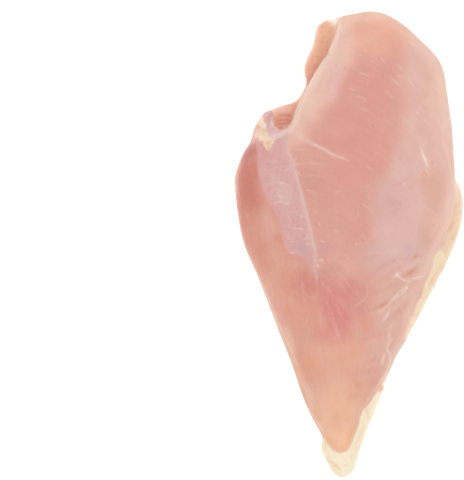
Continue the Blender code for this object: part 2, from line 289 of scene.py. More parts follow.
# Fine web on the silver skin, the pale line beside the low fat, and single specks, pores and nicks
WEB = (
    ((-31.6, 16.2), (-29.0, 17.2), (-26.7, 17.5), (-23.7, 16.5)),
    ((-29.8, 25.6), (-26.7, 24.8), (-22.8, 23.3)),
    ((-27.4, 30.3), (-24.4, 29.5), (-26.0, 32.0)),
    ((-29.0, 20.6), (-27.6, 18.9), (-25.2, 19.6)),
    ((-33.4, 34.2), (-31.0, 33.1), (-28.6, 33.9)),
    ((-24.8, 12.0), (-23.2, 9.6), (-24.2, 7.2)),
    ((-31.8, 28.8), (-30.2, 27.2), (-30.8, 24.6)),
)
KEEL_RIM_LINE = ((16.3, -51.2), (14.8, -53.6), (12.4, -56.7), (10.1, -60.2), (7.6, -64.0), (5.6, -67.6))
SPECKS = (
    (3.9, 12.0), (3.2, -0.1), (22.5, 24.7), (-14.7, -57.2), (19.6, -6.6), (-30.2, 42.9), (23.3, -17.9),
    (19.6, -12.5),
)
PORES = (
    (10.1, 48.2), (21.1, 16.8), (-4.8, -60.6), (-1.6, 71.6), (-5.0, 72.5), (34.1, 33.4),
)
NICKS = ((-8.3, 77.3),)

# Outlines of areas, whose points lie clear of the fillet where an outline runs past its edge
SILVER_SKIN = (
    (-27.4, 43.9), (-29.9, 42.5), (-32.3, 38.0), (-34.6, 40.0), (-37.2, 41.0), (-37.0, 34.3),
    (-36.4, 27.6), (-33.4, 19.4), (-30.6, 14.7), (-27.9, 9.2), (-26.4, 3.7), (-25.6, -1.0),
    (-23.6, -4.1), (-19.5, -4.8), (-17.2, -6.2), (-15.2, -9.8), (-13.6, -12.6),
) + TENDON[-4::-1]
POCKET_LIP = (
    (-33.4, 53.4), (-31.6, 54.2), (-30.8, 53.2), (-30.4, 51.7), (-30.1, 50.4), (-30.3, 49.1),
    (-30.1, 47.7), (-29.0, 46.8), (-27.4, 46.2), (-25.5, 46.4), (-25.9, 45.4), (-26.7, 44.6),
    (-27.8, 43.5), (-29.5, 42.5), (-31.2, 43.4), (-32.1, 44.4), (-32.4, 45.6), (-31.9, 46.6),
    (-32.8, 47.6), (-33.2, 49.2), (-33.7, 50.8), (-34.0, 52.6),
)
FLAP = (
    (-3.8, 92.5), (-4.1, 89.5), (-5.3, 85.8), (-7.0, 82.0), (-8.1, 77.6), (-11.5, 72.6),
    (-14.0, 68.3), (-16.6, 64.2), (-19.0, 59.0), (-24.0, 56.0), (-22.0, 66.0), (-20.0, 72.0),
    (-16.0, 82.0), (-14.0, 92.0),
)
POCKET = (
    (-19.0, 59.0), (-21.3, 54.3), (-22.8, 49.9), (-24.7, 47.1), (-27.5, 46.3), (-29.6, 47.4),
    (-30.3, 50.2), (-30.9, 53.3), (-33.0, 58.0), (-24.0, 62.0),
)
KEEL_FAT = (
    (43.7, 24.6), (43.5, 20.0), (42.8, 16.3), (42.3, 12.6), (41.4, 9.7), (40.4, 7.6), (40.0, 5.5),
    (39.5, 3.4), (39.1, 2.3), (39.3, 0.6), (38.4, -1.2), (37.0, -2.4), (35.8, -3.9), (34.9, -5.8),
    (34.4, -8.0), (33.8, -10.2), (33.1, -11.9), (32.3, -13.6), (31.3, -15.3), (30.7, -17.0),
    (30.2, -19.2), (29.8, -20.9), (28.8, -22.4), (27.9, -24.2), (27.1, -26.1), (26.5, -28.4),
    (25.4, -29.9), (24.9, -31.8), (24.2, -33.5), (23.5, -36.1), (22.9, -38.6), (26.0, -40.0),
    (30.5, -32.6), (38.0, -19.5), (43.6, -8.9), (49.0, 3.0), (52.0, 12.2), (50.0, 25.0),
)
TAIL_FAT = (
    (15.9, -53.0), (14.9, -54.6), (13.6, -57.0), (12.8, -58.8), (11.8, -59.9), (10.3, -62.1),
    (8.9, -64.3), (6.9, -66.4), (5.9, -67.5), (5.4, -69.0), (4.8, -70.7), (4.3, -73.0), (3.4, -75.9),
    (2.3, -77.9), (1.6, -79.8), (0.9, -81.9), (-0.1, -83.6), (-1.3, -84.4), (-3.3, -84.8),
    (-5.0, -84.5), (-6.4, -83.4), (-7.4, -82.0), (-8.4, -80.7), (-9.4, -79.7), (-10.6, -78.8),
    (-14.0, -79.0), (-16.0, -84.0), (-9.0, -99.0), (6.0, -99.0), (11.0, -80.0), (20.0, -56.0),
)
SHOULDER_FAT = (
    (-36.6, 50.9), (-35.7, 52.1), (-34.6, 52.4), (-34.2, 51.2), (-33.9, 49.8), (-33.1, 49.3),
    (-32.7, 48.2), (-32.8, 47.2), (-32.0, 46.5), (-32.3, 45.6), (-32.1, 44.4), (-30.7, 43.2),
    (-29.7, 42.7), (-29.5, 42.0), (-30.4, 40.6), (-31.3, 38.9), (-32.5, 37.0), (-33.6, 38.2),
    (-34.5, 39.7), (-34.8, 41.6), (-36.1, 42.0), (-36.8, 43.2), (-38.1, 43.0), (-38.4, 44.2),
    (-37.9, 45.8), (-37.8, 47.2), (-37.4, 48.7), (-36.9, 50.3),
)
FLAP_FAT = (
    (-8.9, 90.9), (-7.4, 93.0), (-4.0, 93.4), (-4.2, 91.2), (-5.1, 89.2), (-6.1, 88.7), (-6.6, 89.7),
    (-7.6, 90.0),
)

# Soft regions of the skin side: the rolled edge, pale with painted sheen, and the side towards the keel, pale
# with its own thin membrane and painted sheen
ROLLED_EDGE = (
    (-4.0, 94.0), (1.8, 90.0), (2.8, 84.0), (2.6, 79.0), (1.0, 74.0), (-2.6, 67.5), (-7.0, 58.0),
    (-12.0, 52.0), (-16.5, 47.5), (-18.0, 41.0), (-24.0, 40.0), (-26.0, 48.0), (-22.0, 60.0),
    (-14.0, 72.0), (-8.0, 84.0),
)
KEEL_SIDE = (
    (24.5, 86.0), (23.0, 78.0), (23.0, 68.0), (23.6, 56.0), (21.4, 44.0), (17.0, 32.0), (13.5, 23.0),
    (10.5, 14.0), (11.0, 4.0), (17.0, -4.0), (24.0, -9.0), (36.0, -12.0), (47.0, 14.0), (47.0, 60.0),
    (38.0, 86.0),
)

# Pale lobules of the fat
LOBULES = (
    (
        (37.1, -2.4), (38.6, -3.2), (39.2, -4.4), (38.9, -6.4), (37.8, -8.1), (36.6, -9.6), (35.7, -11.2),
        (34.8, -12.6), (33.8, -13.6), (32.6, -13.9), (30.0, -12.0), (33.0, -5.0),
    ),
    (
        (32.5, -14.3), (33.3, -14.7), (33.3, -18.0), (32.8, -19.8), (31.9, -20.9), (31.2, -21.6),
        (30.1, -21.9), (29.0, -21.6), (27.5, -19.5), (30.0, -15.0),
    ),
    (
        (29.0, -22.3), (31.2, -22.3), (31.4, -23.6), (30.7, -25.4), (29.7, -27.2), (28.6, -28.1),
        (27.4, -28.2), (25.5, -28.2), (25.5, -24.5), (27.5, -22.4),
    ),
    (
        (26.6, -28.9), (28.3, -29.0), (28.3, -29.9), (27.4, -31.4), (26.5, -32.4), (25.2, -32.4),
        (23.8, -31.5), (24.5, -29.5),
    ),
    (
        (9.8, -62.0), (13.9, -60.4), (12.5, -64.5), (10.6, -68.6), (9.4, -70.8), (8.2, -69.6), (7.7, -67.5),
        (8.3, -64.9),
    ),
    (
        (5.6, -67.8), (7.1, -67.7), (7.6, -70.2), (8.0, -72.2), (7.2, -74.8), (5.9, -76.3), (3.6, -76.2),
        (4.0, -72.8), (4.8, -69.8),
    ),
)

# The pale line down the middle of the inner fillet's bed on the cut side
CUT_TENDON = ((-1.0, 58.0), (4.0, 36.0), (8.5, 12.0), (14.0, -14.0), (16.0, -32.0))

# The edge of the rolled side where it hangs over the flap and the pocket
OVERHANG = (
    (-3.8, 91.6), (-4.7, 87.8), (-5.8, 84.4), (-6.9, 81.1), (-8.0, 78.3), (-9.4, 75.4), (-11.7, 72.6),
    (-12.6, 70.9), (-13.9, 68.7), (-16.2, 65.3), (-17.9, 62.5), (-20.1, 59.6), (-21.2, 55.9),
    (-22.3, 53.4), (-22.7, 50.6), (-23.5, 49.3), (-24.8, 47.3),
)

# Creases between the lobules of fat
FAT_CREASES = (
    ((41.9, 1.9), (42.7, 3.2), (43.2, 4.2)),
    ((40.5, -0.8), (41.6, -0.2), (42.9, 0.4)),
    ((39.6, 2.8), (40.2, 1.4), (39.9, 0.2)),
    ((39.3, -1.8), (39.6, -4.4), (39.3, -6.6), (38.2, -8.4), (37.0, -9.9), (36.0, -11.6), (35.0, -13.1)),
    ((33.7, -14.2), (33.8, -17.0), (33.4, -19.6), (32.4, -21.2), (31.6, -22.0)),
    ((31.7, -22.6), (31.6, -24.2), (30.8, -26.0)),
    ((29.2, -28.0), (28.4, -28.6), (27.0, -28.6)),
    ((24.9, -33.3), (25.9, -33.0), (26.8, -32.6)),
    ((7.4, -67.3), (7.9, -70.1), (9.0, -71.4), (9.3, -72.6)),
    ((5.4, -76.6), (6.1, -76.0), (7.0, -74.4)),
    ((6.1, -78.0), (5.6, -79.9), (4.8, -81.6), (4.3, -83.6)),
    ((-9.5, -86.8), (-7.2, -88.6), (-5.5, -89.5), (-4.1, -90.9), (-3.1, -92.2), (-3.6, -93.6)),
    ((-37.4, 48.5), (-35.9, 48.4), (-34.9, 47.9)),
    ((-34.6, 42.9), (-33.4, 43.0), (-32.0, 43.2)),
)


def linear(tone):
    """A colour given in steps of 0 to 255, as linear light."""
    share = np.asarray(tone, float) / 255.0
    return np.where(share <= 0.04045, share / 12.92, ((share + 0.055) / 1.055) ** 2.4)


def rgba(tone):
    """A colour given in steps of 0 to 255, for a shader's socket."""
    return (*[float(part) for part in linear(tone)], 1.0)


def fade(value, low, high):
    """0 at low, 1 at high and smooth between; low may be the larger of the two."""
    share = np.clip((value - low) / (high - low), 0.0, 1.0)
    return share * share * (3.0 - 2.0 * share)


def line_gap(plan, line):
    """How far each point is from a line of straight runs."""
    ends = np.asarray(line, float)
    nearest = np.full(len(plan), 1e9)
    for start, end in zip(ends, ends[1:]):
        step = end - start
        share = np.clip(((plan - start) @ step) / (step @ step), 0.0, 1.0)
        nearest = np.minimum(nearest, np.linalg.norm(plan - start - share[:, None] * step, axis=1))
    return nearest


def depth_inside(plan, outline):
    """How far each point is inside a closed outline, and below 0 outside it."""
    closed = tuple(outline) + (outline[0],)
    inside = np.zeros(len(plan), bool)
    x, y = plan[:, 0], plan[:, 1]
    for (ax, ay), (bx, by) in zip(closed, closed[1:]):
        if ay != by:
            crosses = (ay > y) != (by > y)
            inside ^= crosses & (x < (bx - ax) * (y - ay) / (by - ay) + ax)
    gap = line_gap(plan, closed)
    return np.where(inside, gap, -gap)


def traced(plan, lines, width, taper=0.3):
    """1 on the lines, less beside them and towards their ends, and 0 away from them."""
    strength = np.zeros(len(plan))
    margin = 3.0 * width
    for line in lines:
        path = rounded(line)
        low, high = path.min(axis=0) - margin, path.max(axis=0) + margin
        at = np.nonzero(np.all((plan > low) & (plan < high), axis=1))[0]
        if len(at):
            ends = np.linalg.norm(plan[at][:, None, :] - path[[0, -1]], axis=2).min(axis=1)
            reach = taper * np.linalg.norm(np.diff(path, axis=0), axis=1).sum() + 0.01
            share = np.exp(-((line_gap(plan[at], path) / width) ** 2)) * (0.3 + 0.7 * fade(ends, 0.0, reach))
            strength[at] = np.maximum(strength[at], share)
    return strength


def patch(plan, outline, soft):
    """1 inside an outline and 0 outside it, with a soft border."""
    return fade(depth_inside(plan, outline), -soft, soft)


def dotted(plan, places, width):
    """1 at the places and 0 away from them."""
    strength = np.zeros(len(plan))
    for place in places:
        gap = np.linalg.norm(plan - np.asarray(place), axis=1)
        strength = np.maximum(strength, np.exp(-((gap / width) ** 2)))
    return strength


def rounded(line, rounds=2):
    """The line with its corners cut, its ends kept."""
    points = np.asarray(line, float)
    for _ in range(rounds):
        if len(points) < 3:
            break
        first, last = points[:-1], points[1:]
        cut = np.empty((2 * len(first), 2))
        cut[0::2] = 0.75 * first + 0.25 * last
        cut[1::2] = 0.25 * first + 0.75 * last
        points = np.vstack([points[:1], cut[1:-1], points[-1:]])
    return points


def spot(plan, centre, radii, turn=0.0, core=0.2):
    """A soft ellipse: 1 in its core and 0 outside it, turned to the left by degrees."""
    angle = math.radians(turn)
    offset = plan - np.asarray(centre, float)
    u = (offset[:, 0] * math.cos(angle) + offset[:, 1] * math.sin(angle)) / radii[0]
    v = (offset[:, 1] * math.cos(angle) - offset[:, 0] * math.sin(angle)) / radii[1]
    return fade(np.hypot(u, v), 1.0, core)


def lumps(points, size, seed=0.0):
    """Smooth noise from about -1 to 1 with lumps of the given size."""
    shift = Vector((seed, -2.0 * seed, 0.5 * seed))
    return np.array([noise.noise(Vector(point) / size + shift) for point in points])


def tendon_side(plan):
    """1 on the wing side of the tendon and 0 on the other, up to the pocket."""
    line = np.asarray(TENDON[::-1], float)
    here = np.interp(plan[:, 1], line[:, 1], line[:, 0])
    return fade(plan[:, 0] - here, 0.4, -0.4) * fade(plan[:, 1], 50.0, 46.0)


def fibre_place(points, normals):
    """How far each point is along the muscle's fibres, and across them."""
    plan = points[:, :2]
    x, y = points[:, 0], points[:, 1]
    dx = x - FIBRE_HUB[0]
    dy = np.maximum(y - FIBRE_HUB[1], 0.01)
    bend = 0.8 + 0.011 * dy
    round_along = HUB_RUN * np.arctan2(dx, dy)
    round_across = np.sqrt(dy * dy + bend * dx * dx)
    angle = np.arctan2(x - FIBRE_MEETING[0], y - FIBRE_MEETING[1])
    straight_along = MEETING_SHIFT[0] + FIBRE_HUB[1] - y
    straight_across = MEETING_RUN * angle + MEETING_SHIFT[1]
    share = np.maximum(fade(y, -12.0, -46.0), tendon_side(plan))
    along = round_along + (straight_along - round_along) * share
    across = round_across + (straight_across - round_across) * share
    under = fade(normals[:, 2], -0.2, -0.6)
    return along + (y - along) * under, across + (x + 0.12 * y - across) * under


def set_camera():
    """Straight above the middle of the picture's frame, far enough away for a long lens."""
    data = bpy.data.cameras.new("camera")
    camera = bpy.data.objects.new("camera", data)
    bpy.context.scene.collection.objects.link(camera)
    camera.location = (FRAME_CENTRE[0] * MM, FRAME_CENTRE[1] * MM, CAMERA_HEIGHT * MM)
    data.sensor_width = SENSOR
    data.lens = SENSOR * (CAMERA_HEIGHT - FOCUS_HEIGHT) / (max(FRAME_PIXELS) * MM_PER_PIXEL)
    data.clip_start, data.clip_end = 0.01, 20.0
    bpy.context.scene.camera = camera


def set_light():
    """A bright room with a large soft box on each of four sides."""
    scene = bpy.context.scene
    scene.view_settings.view_transform = "Standard"
    world = bpy.data.worlds.new("room")
    scene.world = world
    world.use_nodes = True
    back = world.node_tree.nodes["Background"]
    back.inputs["Color"].default_value = ROOM_COLOUR
    back.inputs["Strength"].default_value = ROOM_LIGHT
    for name, side, ahead, power in BOXES:
        data = bpy.data.lights.new(name, "AREA")
        data.shape = "RECTANGLE"
        data.size, data.size_y = BOX_SIDE, BOX_SIDE
        data.energy = power
        lamp = bpy.data.objects.new(name, data)
        scene.collection.objects.link(lamp)
        lamp.location = (side * BOX_REACH, ahead * BOX_REACH, BOX_HEIGHT)
        lamp.rotation_euler = (-lamp.location).to_track_quat("-Z", "Y").to_euler()


def plain_floor():
    """A wide white floor under the fillet."""
    bm = bmesh.new()
    bmesh.ops.create_grid(bm, x_segments=1, y_segments=1, size=FLOOR_REACH)
    floor = new_piece("floor", bm)
    floor.location.z = -FLOOR_DROP * MM
    material = bpy.data.materials.new("white_floor")
    material.use_nodes = True
    shader = material.node_tree.nodes["Principled BSDF"]
    shader.inputs["Base Color"].default_value = (FLOOR_WHITE, FLOOR_WHITE, FLOOR_WHITE, 1.0)
    shader.inputs["Roughness"].default_value = 0.9
    shader.inputs["Specular IOR Level"].default_value = 0.1
    shader.inputs["Emission Color"].default_value = (1.0, 1.0, 1.0, 1.0)
    shader.inputs["Emission Strength"].default_value = FLOOR_GLOW
    floor.data.materials.append(material)


def apply_modifiers(piece):
    """Makes the modified shape the piece's own mesh."""
    evaluated = piece.evaluated_get(bpy.context.evaluated_depsgraph_get())
    mesh = bpy.data.meshes.new_from_object(evaluated)
    piece.modifiers.clear()
    piece.data = mesh


def new_piece(name, bm):
    """An object with the shape's mesh."""
    mesh = bpy.data.meshes.new(name)
    bm.to_mesh(mesh)
    bm.free()
    piece = bpy.data.objects.new(name, mesh)
    bpy.context.scene.collection.objects.link(piece)
    return piece


def mesh_points(mesh):
    """The mesh's points in millimetres, and their normals."""
    points = np.zeros(len(mesh.vertices) * 3)
    normals = np.zeros(len(mesh.vertices) * 3)
    mesh.vertices.foreach_get("co", points)
    mesh.vertices.foreach_get("normal", normals)
    return points.reshape(-1, 3) / MM, normals.reshape(-1, 3)


def move_points(mesh, points):
    """Puts points in millimetres back on the mesh."""
    mesh.vertices.foreach_set("co", (points * MM).ravel())
    mesh.update()


def store(mesh, name, values):
    """Keeps a number, a direction or a colour for each point of the mesh."""
    kind, key = {1: ("FLOAT", "value"), 3: ("FLOAT_VECTOR", "vector"), 4: ("FLOAT_COLOR", "color")}[
        1 if values.ndim == 1 else values.shape[1]
    ]
    if name in mesh.attributes:
        mesh.attributes.remove(mesh.attributes[name])
    layer = mesh.attributes.new(name, kind, "POINT")
    layer.data.foreach_set(key, np.ascontiguousarray(values, dtype=np.float32).ravel())


def store_tone(mesh, colour):
    """Keeps a linear colour for each point of the mesh."""
    store(mesh, "tone", np.column_stack([colour, np.ones(len(colour))]))


def finish_piece(piece, material):
    """Smooth faces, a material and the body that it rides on."""
    piece.data.shade_smooth()
    piece.data.materials.clear()
    piece.data.materials.append(material)
    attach(piece, "root")


class Nodes:
    """Shader nodes of one material."""

    def __init__(self, name):
        self.material = bpy.data.materials.new(name)
        self.material.use_nodes = True
        self.tree = self.material.node_tree
        self.shader = self.tree.nodes["Principled BSDF"]

    def feed(self, socket, value):
        """Links a socket to another, or gives it a value."""
        if isinstance(value, bpy.types.NodeSocket):
            self.tree.links.new(value, socket)
        else:
            socket.default_value = value

    def add(self, kind, values, **settings):
        """A node with its settings, and its first inputs fed in order."""
        node = self.tree.nodes.new(kind)
        for key, value in settings.items():
            setattr(node, key, value)
        for socket, value in zip(node.inputs, values):
            if value is not None:
                self.feed(socket, value)
        return node

    def place(self):
        """The object's own coordinates."""
        return self.add("ShaderNodeTexCoord", ()).outputs["Object"]

    def kept(self, name, output="Fac"):
        """What the mesh keeps for each point under a name."""
        return self.add("ShaderNodeAttribute", (), attribute_name=name).outputs[output]

    def ramp(self, value, low, high, to_low=0.0, to_high=1.0):
        """A smooth step from one number to another."""
        values = (value, low, high, to_low, to_high)
        return self.add("ShaderNodeMapRange", values, interpolation_type="SMOOTHSTEP").outputs[0]

    def mix(self, share, a, b):
        """A mix of two colours, whose sockets are the node's seventh and eighth."""
        node = self.add("ShaderNodeMix", (share,), data_type="RGBA")
        self.feed(node.inputs[6], a)
        self.feed(node.inputs[7], b)
        return node.outputs[2]

    def turned(self, vector, angle):
        """The vector turned to the left by degrees."""
        values = (vector, None, None, math.radians(-angle))
        return self.add("ShaderNodeVectorRotate", values, rotation_type="Z_AXIS").outputs[0]

    def stretched(self, vector, factors):
        """The vector with each part multiplied."""
        return self.add("ShaderNodeVectorMath", (vector, factors), operation="MULTIPLY").outputs[0]

    def times(self, a, b):
        """The product of two numbers."""
        return self.add("ShaderNodeMath", (a, b), operation="MULTIPLY").outputs[0]

    def cloud(self, vector, scale, detail=3.0, roughness=0.5):
        """Noise from 0 to 1."""
        return self.add("ShaderNodeTexNoise", (vector, None, scale, detail, roughness)).outputs[0]

    def bump(self, strength, distance, height, below=None):
        """A bump over the surface, or over another bump."""
        node = self.add("ShaderNodeBump", ())
        node.inputs["Strength"].default_value = strength
        node.inputs["Distance"].default_value = distance
        self.feed(node.inputs["Height"], height)
        if below is not None:
            self.feed(node.inputs["Normal"], below)
        return node.outputs[0]

    def translucent(self, weight, depth, radius):
        """Lets light soak in under the surface."""
        self.feed(self.shader.inputs["Subsurface Weight"], weight)
        self.shader.inputs["Subsurface Scale"].default_value = depth
        self.shader.inputs["Subsurface Radius"].default_value = radius

    def finish(self, colour, roughness, bumps, coat, coat_roughness):
        """Gives the shader its colour, sheen and wet coat, and hands over the material."""
        self.feed(self.shader.inputs["Base Color"], colour)
        self.feed(self.shader.inputs["Roughness"], roughness)
        self.feed(self.shader.inputs["Normal"], bumps)
        self.shader.inputs["Coat Weight"].default_value = coat
        self.shader.inputs["Coat Roughness"].default_value = coat_roughness
        return self.material


# Tones of the flesh and what lies in it, in steps of 0 to 255
FLESH_TONE = (227, 168, 153)
SILVER_TONE = (222, 169, 166)
SILVER_EDGE_TONE = (229, 190, 182)
PALE_TONE = (246, 220, 208)
VEIN_TONE = (246, 226, 214)
# The fold tone and the orange tone below darken the folds: painted shade.
FOLD_SHADE_TONE = (216, 152, 138)
ORANGE_FOLD_SHADE_TONE = (222, 152, 108)

# How much of the red, green and blue light is kept everywhere but on the cut side
WARMTH = (1.0, 0.988, 0.984)

# Soft areas of tone on the skin side: what it is, centre, radii, turn, tone, strength
FIRST_AREAS = (
    ("crown", (5.6, 46.5), (24.0, 62.0), -8.0, (227, 162, 149), 0.95),
    ("beside the tendon", (-15.0, 24.0), (7.0, 22.0), 15.0, (221, 158, 145), 0.6),
    ("film beside the silver skin", (-35.5, 15.0), (3.0, 10.0), 12.0, (226, 170, 158), 0.8),
    ("shoulder end", (9.0, 86.0), (28.0, 15.0), 0.0, (244, 184, 158), 0.9),
    # The top rim's pale tone is painted sheen where the shoulder end drops steeply.
    ("top rim", (7.0, 96.5), (30.0, 7.0), 0.0, (252, 214, 194), 0.85),
    ("red flank", (-40.5, 25.0), (9.5, 26.0), 4.0, (210, 130, 113), 0.95),
    ("reddest flank", (-42.5, 24.0), (4.5, 13.0), 4.0, (206, 126, 109), 0.8),
    ("red under the shoulder's fat", (-37.2, 40.0), (4.0, 5.5), 0.0, (212, 138, 130), 0.8),
    ("wing flank", (-36.0, -2.0), (12.0, 24.0), 22.0, (222, 153, 132), 0.85),
    ("flank film", (-31.5, 4.0), (5.5, 14.0), 20.0, (228, 169, 151), 0.6),
    ("wing belly", (-20.0, -22.0), (14.0, 22.0), 20.0, (229, 160, 136), 0.85),
    ("red belly", (-17.0, -16.0), (11.0, 10.0), 10.0, (217, 143, 128), 0.9),
    ("under the knot", (-8.0, -11.0), (8.0, 5.0), 0.0, (219, 153, 142), 0.7),
    ("low middle", (-3.0, -46.0), (20.0, 18.0), 0.0, (234, 174, 147), 0.9),
    ("left of the low middle", (-15.5, -49.0), (7.0, 12.0), 20.0, (230, 167, 138), 0.8),
    ("tail", (-2.5, -66.0), (18.0, 18.0), 0.0, (240, 190, 159), 0.95),
    ("ochre above the tail", (3.5, -60.0), (7.0, 8.0), 0.0, (229, 168, 142), 0.5),
    ("tail end", (-3.0, -80.0), (13.0, 11.0), 0.0, (250, 202, 166), 1.0),
    ("left corner of the tail", (-9.8, -75.5), (3.2, 5.5), 24.0, (248, 212, 184), 0.6),
    ("left side of the tail's end", (-12.5, -68.0), (5.0, 12.0), 25.0, (241, 195, 164), 0.4),
    ("left side of the tail", (-23.0, -50.0), (5.0, 22.0), 22.0, (236, 186, 158), 0.85),
    ("low keel side", (20.0, -24.0), (15.0, 20.0), -30.0, (229, 187, 171), 0.85),
    ("lower keel side", (13.0, -44.0), (10.0, 16.0), -25.0, (232, 186, 169), 0.8),
    ("pale rim of the low keel side", (18.0, -46.5), (3.0, 12.0), -24.0, (230, 197, 179), 0.7),
    ("orange side of the wing", (-31.0, -18.0), (4.0, 9.0), 22.0, (226, 165, 137), 0.6),
    ("flank above the belly", (-31.0, -6.5), (4.5, 6.5), 20.0, (230, 174, 153), 0.6),
    ("cream side of the wing", (-24.0, -39.0), (3.5, 9.0), 22.0, (237, 195, 165), 0.6),
    ("pale side of the tail", (-17.0, -60.5), (3.5, 9.0), 24.0, (238, 202, 178), 0.6),
    ("red rim under the shoulder", (-40.5, 39.5), (3.5, 6.0), 30.0, (202, 118, 108), 0.8),
    ("left rim", (-43.4, 32.0), (2.8, 5.5), 0.0, (206, 122, 106), 0.5),
    ("left rim below", (-43.2, 7.0), (3.0, 8.0), 14.0, (212, 138, 112), 0.6),
    ("pale top right", (24.5, 80.0), (5.0, 5.0), 0.0, (244, 198, 182), 0.5),
    ("orange below the blush", (7.0, -31.5), (5.0, 6.0), 0.0, (230, 158, 134), 0.6),
    ("left of the tail", (-9.0, -72.5), (5.5, 6.0), 0.0, (246, 202, 170), 0.5),
    ("right of the tail", (6.5, -71.5), (4.0, 7.0), -20.0, (232, 176, 150), 0.5),
    ("right of the blush", (3.5, -21.5), (9.0, 11.5), 10.0, (222, 152, 140), 0.9),
    ("under the blush", (-7.0, -37.0), (10.0, 8.0), 0.0, (226, 151, 137), 0.85),
    ("blush's wide part", (-9.0, -21.0), (9.0, 9.0), 0.0, (221, 146, 134), 0.6),
    ("blush", (-4.9, -27.0), (8.8, 16.5), 14.0, (221, 132, 125), 0.9),
    ("blush's right lobe", (0.0, -18.5), (5.0, 7.5), -20.0, (222, 141, 132), 0.75),
    ("blush's left lobe", (-14.6, -15.6), (7.0, 3.4), 5.0, (216, 138, 124), 0.65),
)

# The same, laid after the broad tones and painted sheen of the keel side and the rolled edge
LATER_AREAS = (
    ("keel shoulder", (37.0, 62.0), (9.0, 32.0), 6.0, (239, 199, 181), 0.85),
    ("keel rim", (44.0, 37.0), (5.0, 20.0), 0.0, (220, 170, 147), 0.75),
    ("top right rim", (25.5, 85.5), (8.0, 5.0), -30.0, (234, 186, 163), 0.7),
    ("top of the rolled edge", (2.0, 93.5), (9.0, 6.0), 0.0, (244, 195, 168), 0.8),
    ("side of the keel shoulder", (40.0, 55.0), (3.0, 10.0), 0.0, (231, 193, 177), 0.5),
    # The pale rolled edge by the pocket is painted sheen.
    ("rolled edge by the pocket", (-15.5, 57.0), (4.0, 8.0), -30.0, (243, 208, 190), 0.6),
    ("brown keel", (34.5, 22.0), (8.0, 16.0), 0.0, (228, 176, 157), 0.85),
    ("low brown keel", (31.0, 5.0), (5.5, 11.0), 0.0, (228, 178, 161), 0.65),
    ("pale keel by the fat", (38.2, 9.0), (4.5, 19.0), -12.0, (236, 196, 180), 0.85),
    ("high lilac", (24.0, 32.0), (10.0, 9.0), 10.0, (228, 186, 177), 0.7),
    ("middle lilac", (19.0, 15.0), (15.0, 18.0), 18.0, (226, 184, 177), 0.95),
    ("low lilac", (17.0, -3.0), (21.0, 12.0), 10.0, (225, 185, 178), 0.9),
    ("lowest lilac", (29.5, -9.0), (6.5, 9.0), -35.0, (230, 191, 173), 0.85),
    ("lilac by the tendon's end", (-9.5, -1.5), (6.0, 5.0), 0.0, (216, 166, 164), 0.6),
    ("orange wedge", (25.2, -11.7), (3.6, 1.5), 34.0, (224, 164, 146), 0.6),
    ("star of the veins", (19.9, -12.4), (1.3, 0.8), 20.0, (244, 214, 202), 0.4),
    ("pale drop on the veins", (23.2, -18.2), (1.0, 1.3), -20.0, (248, 228, 216), 0.7),
    ("blue spot", (23.6, -1.6), (4.0, 3.0), 0.0, (208, 178, 192), 0.3),
    ("ochre spot", (4.3, -57.3), (2.6, 2.8), 0.0, (222, 150, 112), 0.45),
    ("ochre cloud of the tail", (1.5, -62.0), (5.0, 2.4), 20.0, (224, 164, 132), 0.4),
    ("vein's orange tip", (31.9, 28.9), (1.0, 2.4), 40.0, (230, 162, 116), 0.6),
    ("lilac on the rolled edge", (-5.5, 66.0), (5.0, 12.0), -25.0, (234, 190, 188), 0.6),
    ("orange dip", (-29.0, 2.2), (2.6, 3.0), 20.0, (216, 142, 116), 0.5),
)

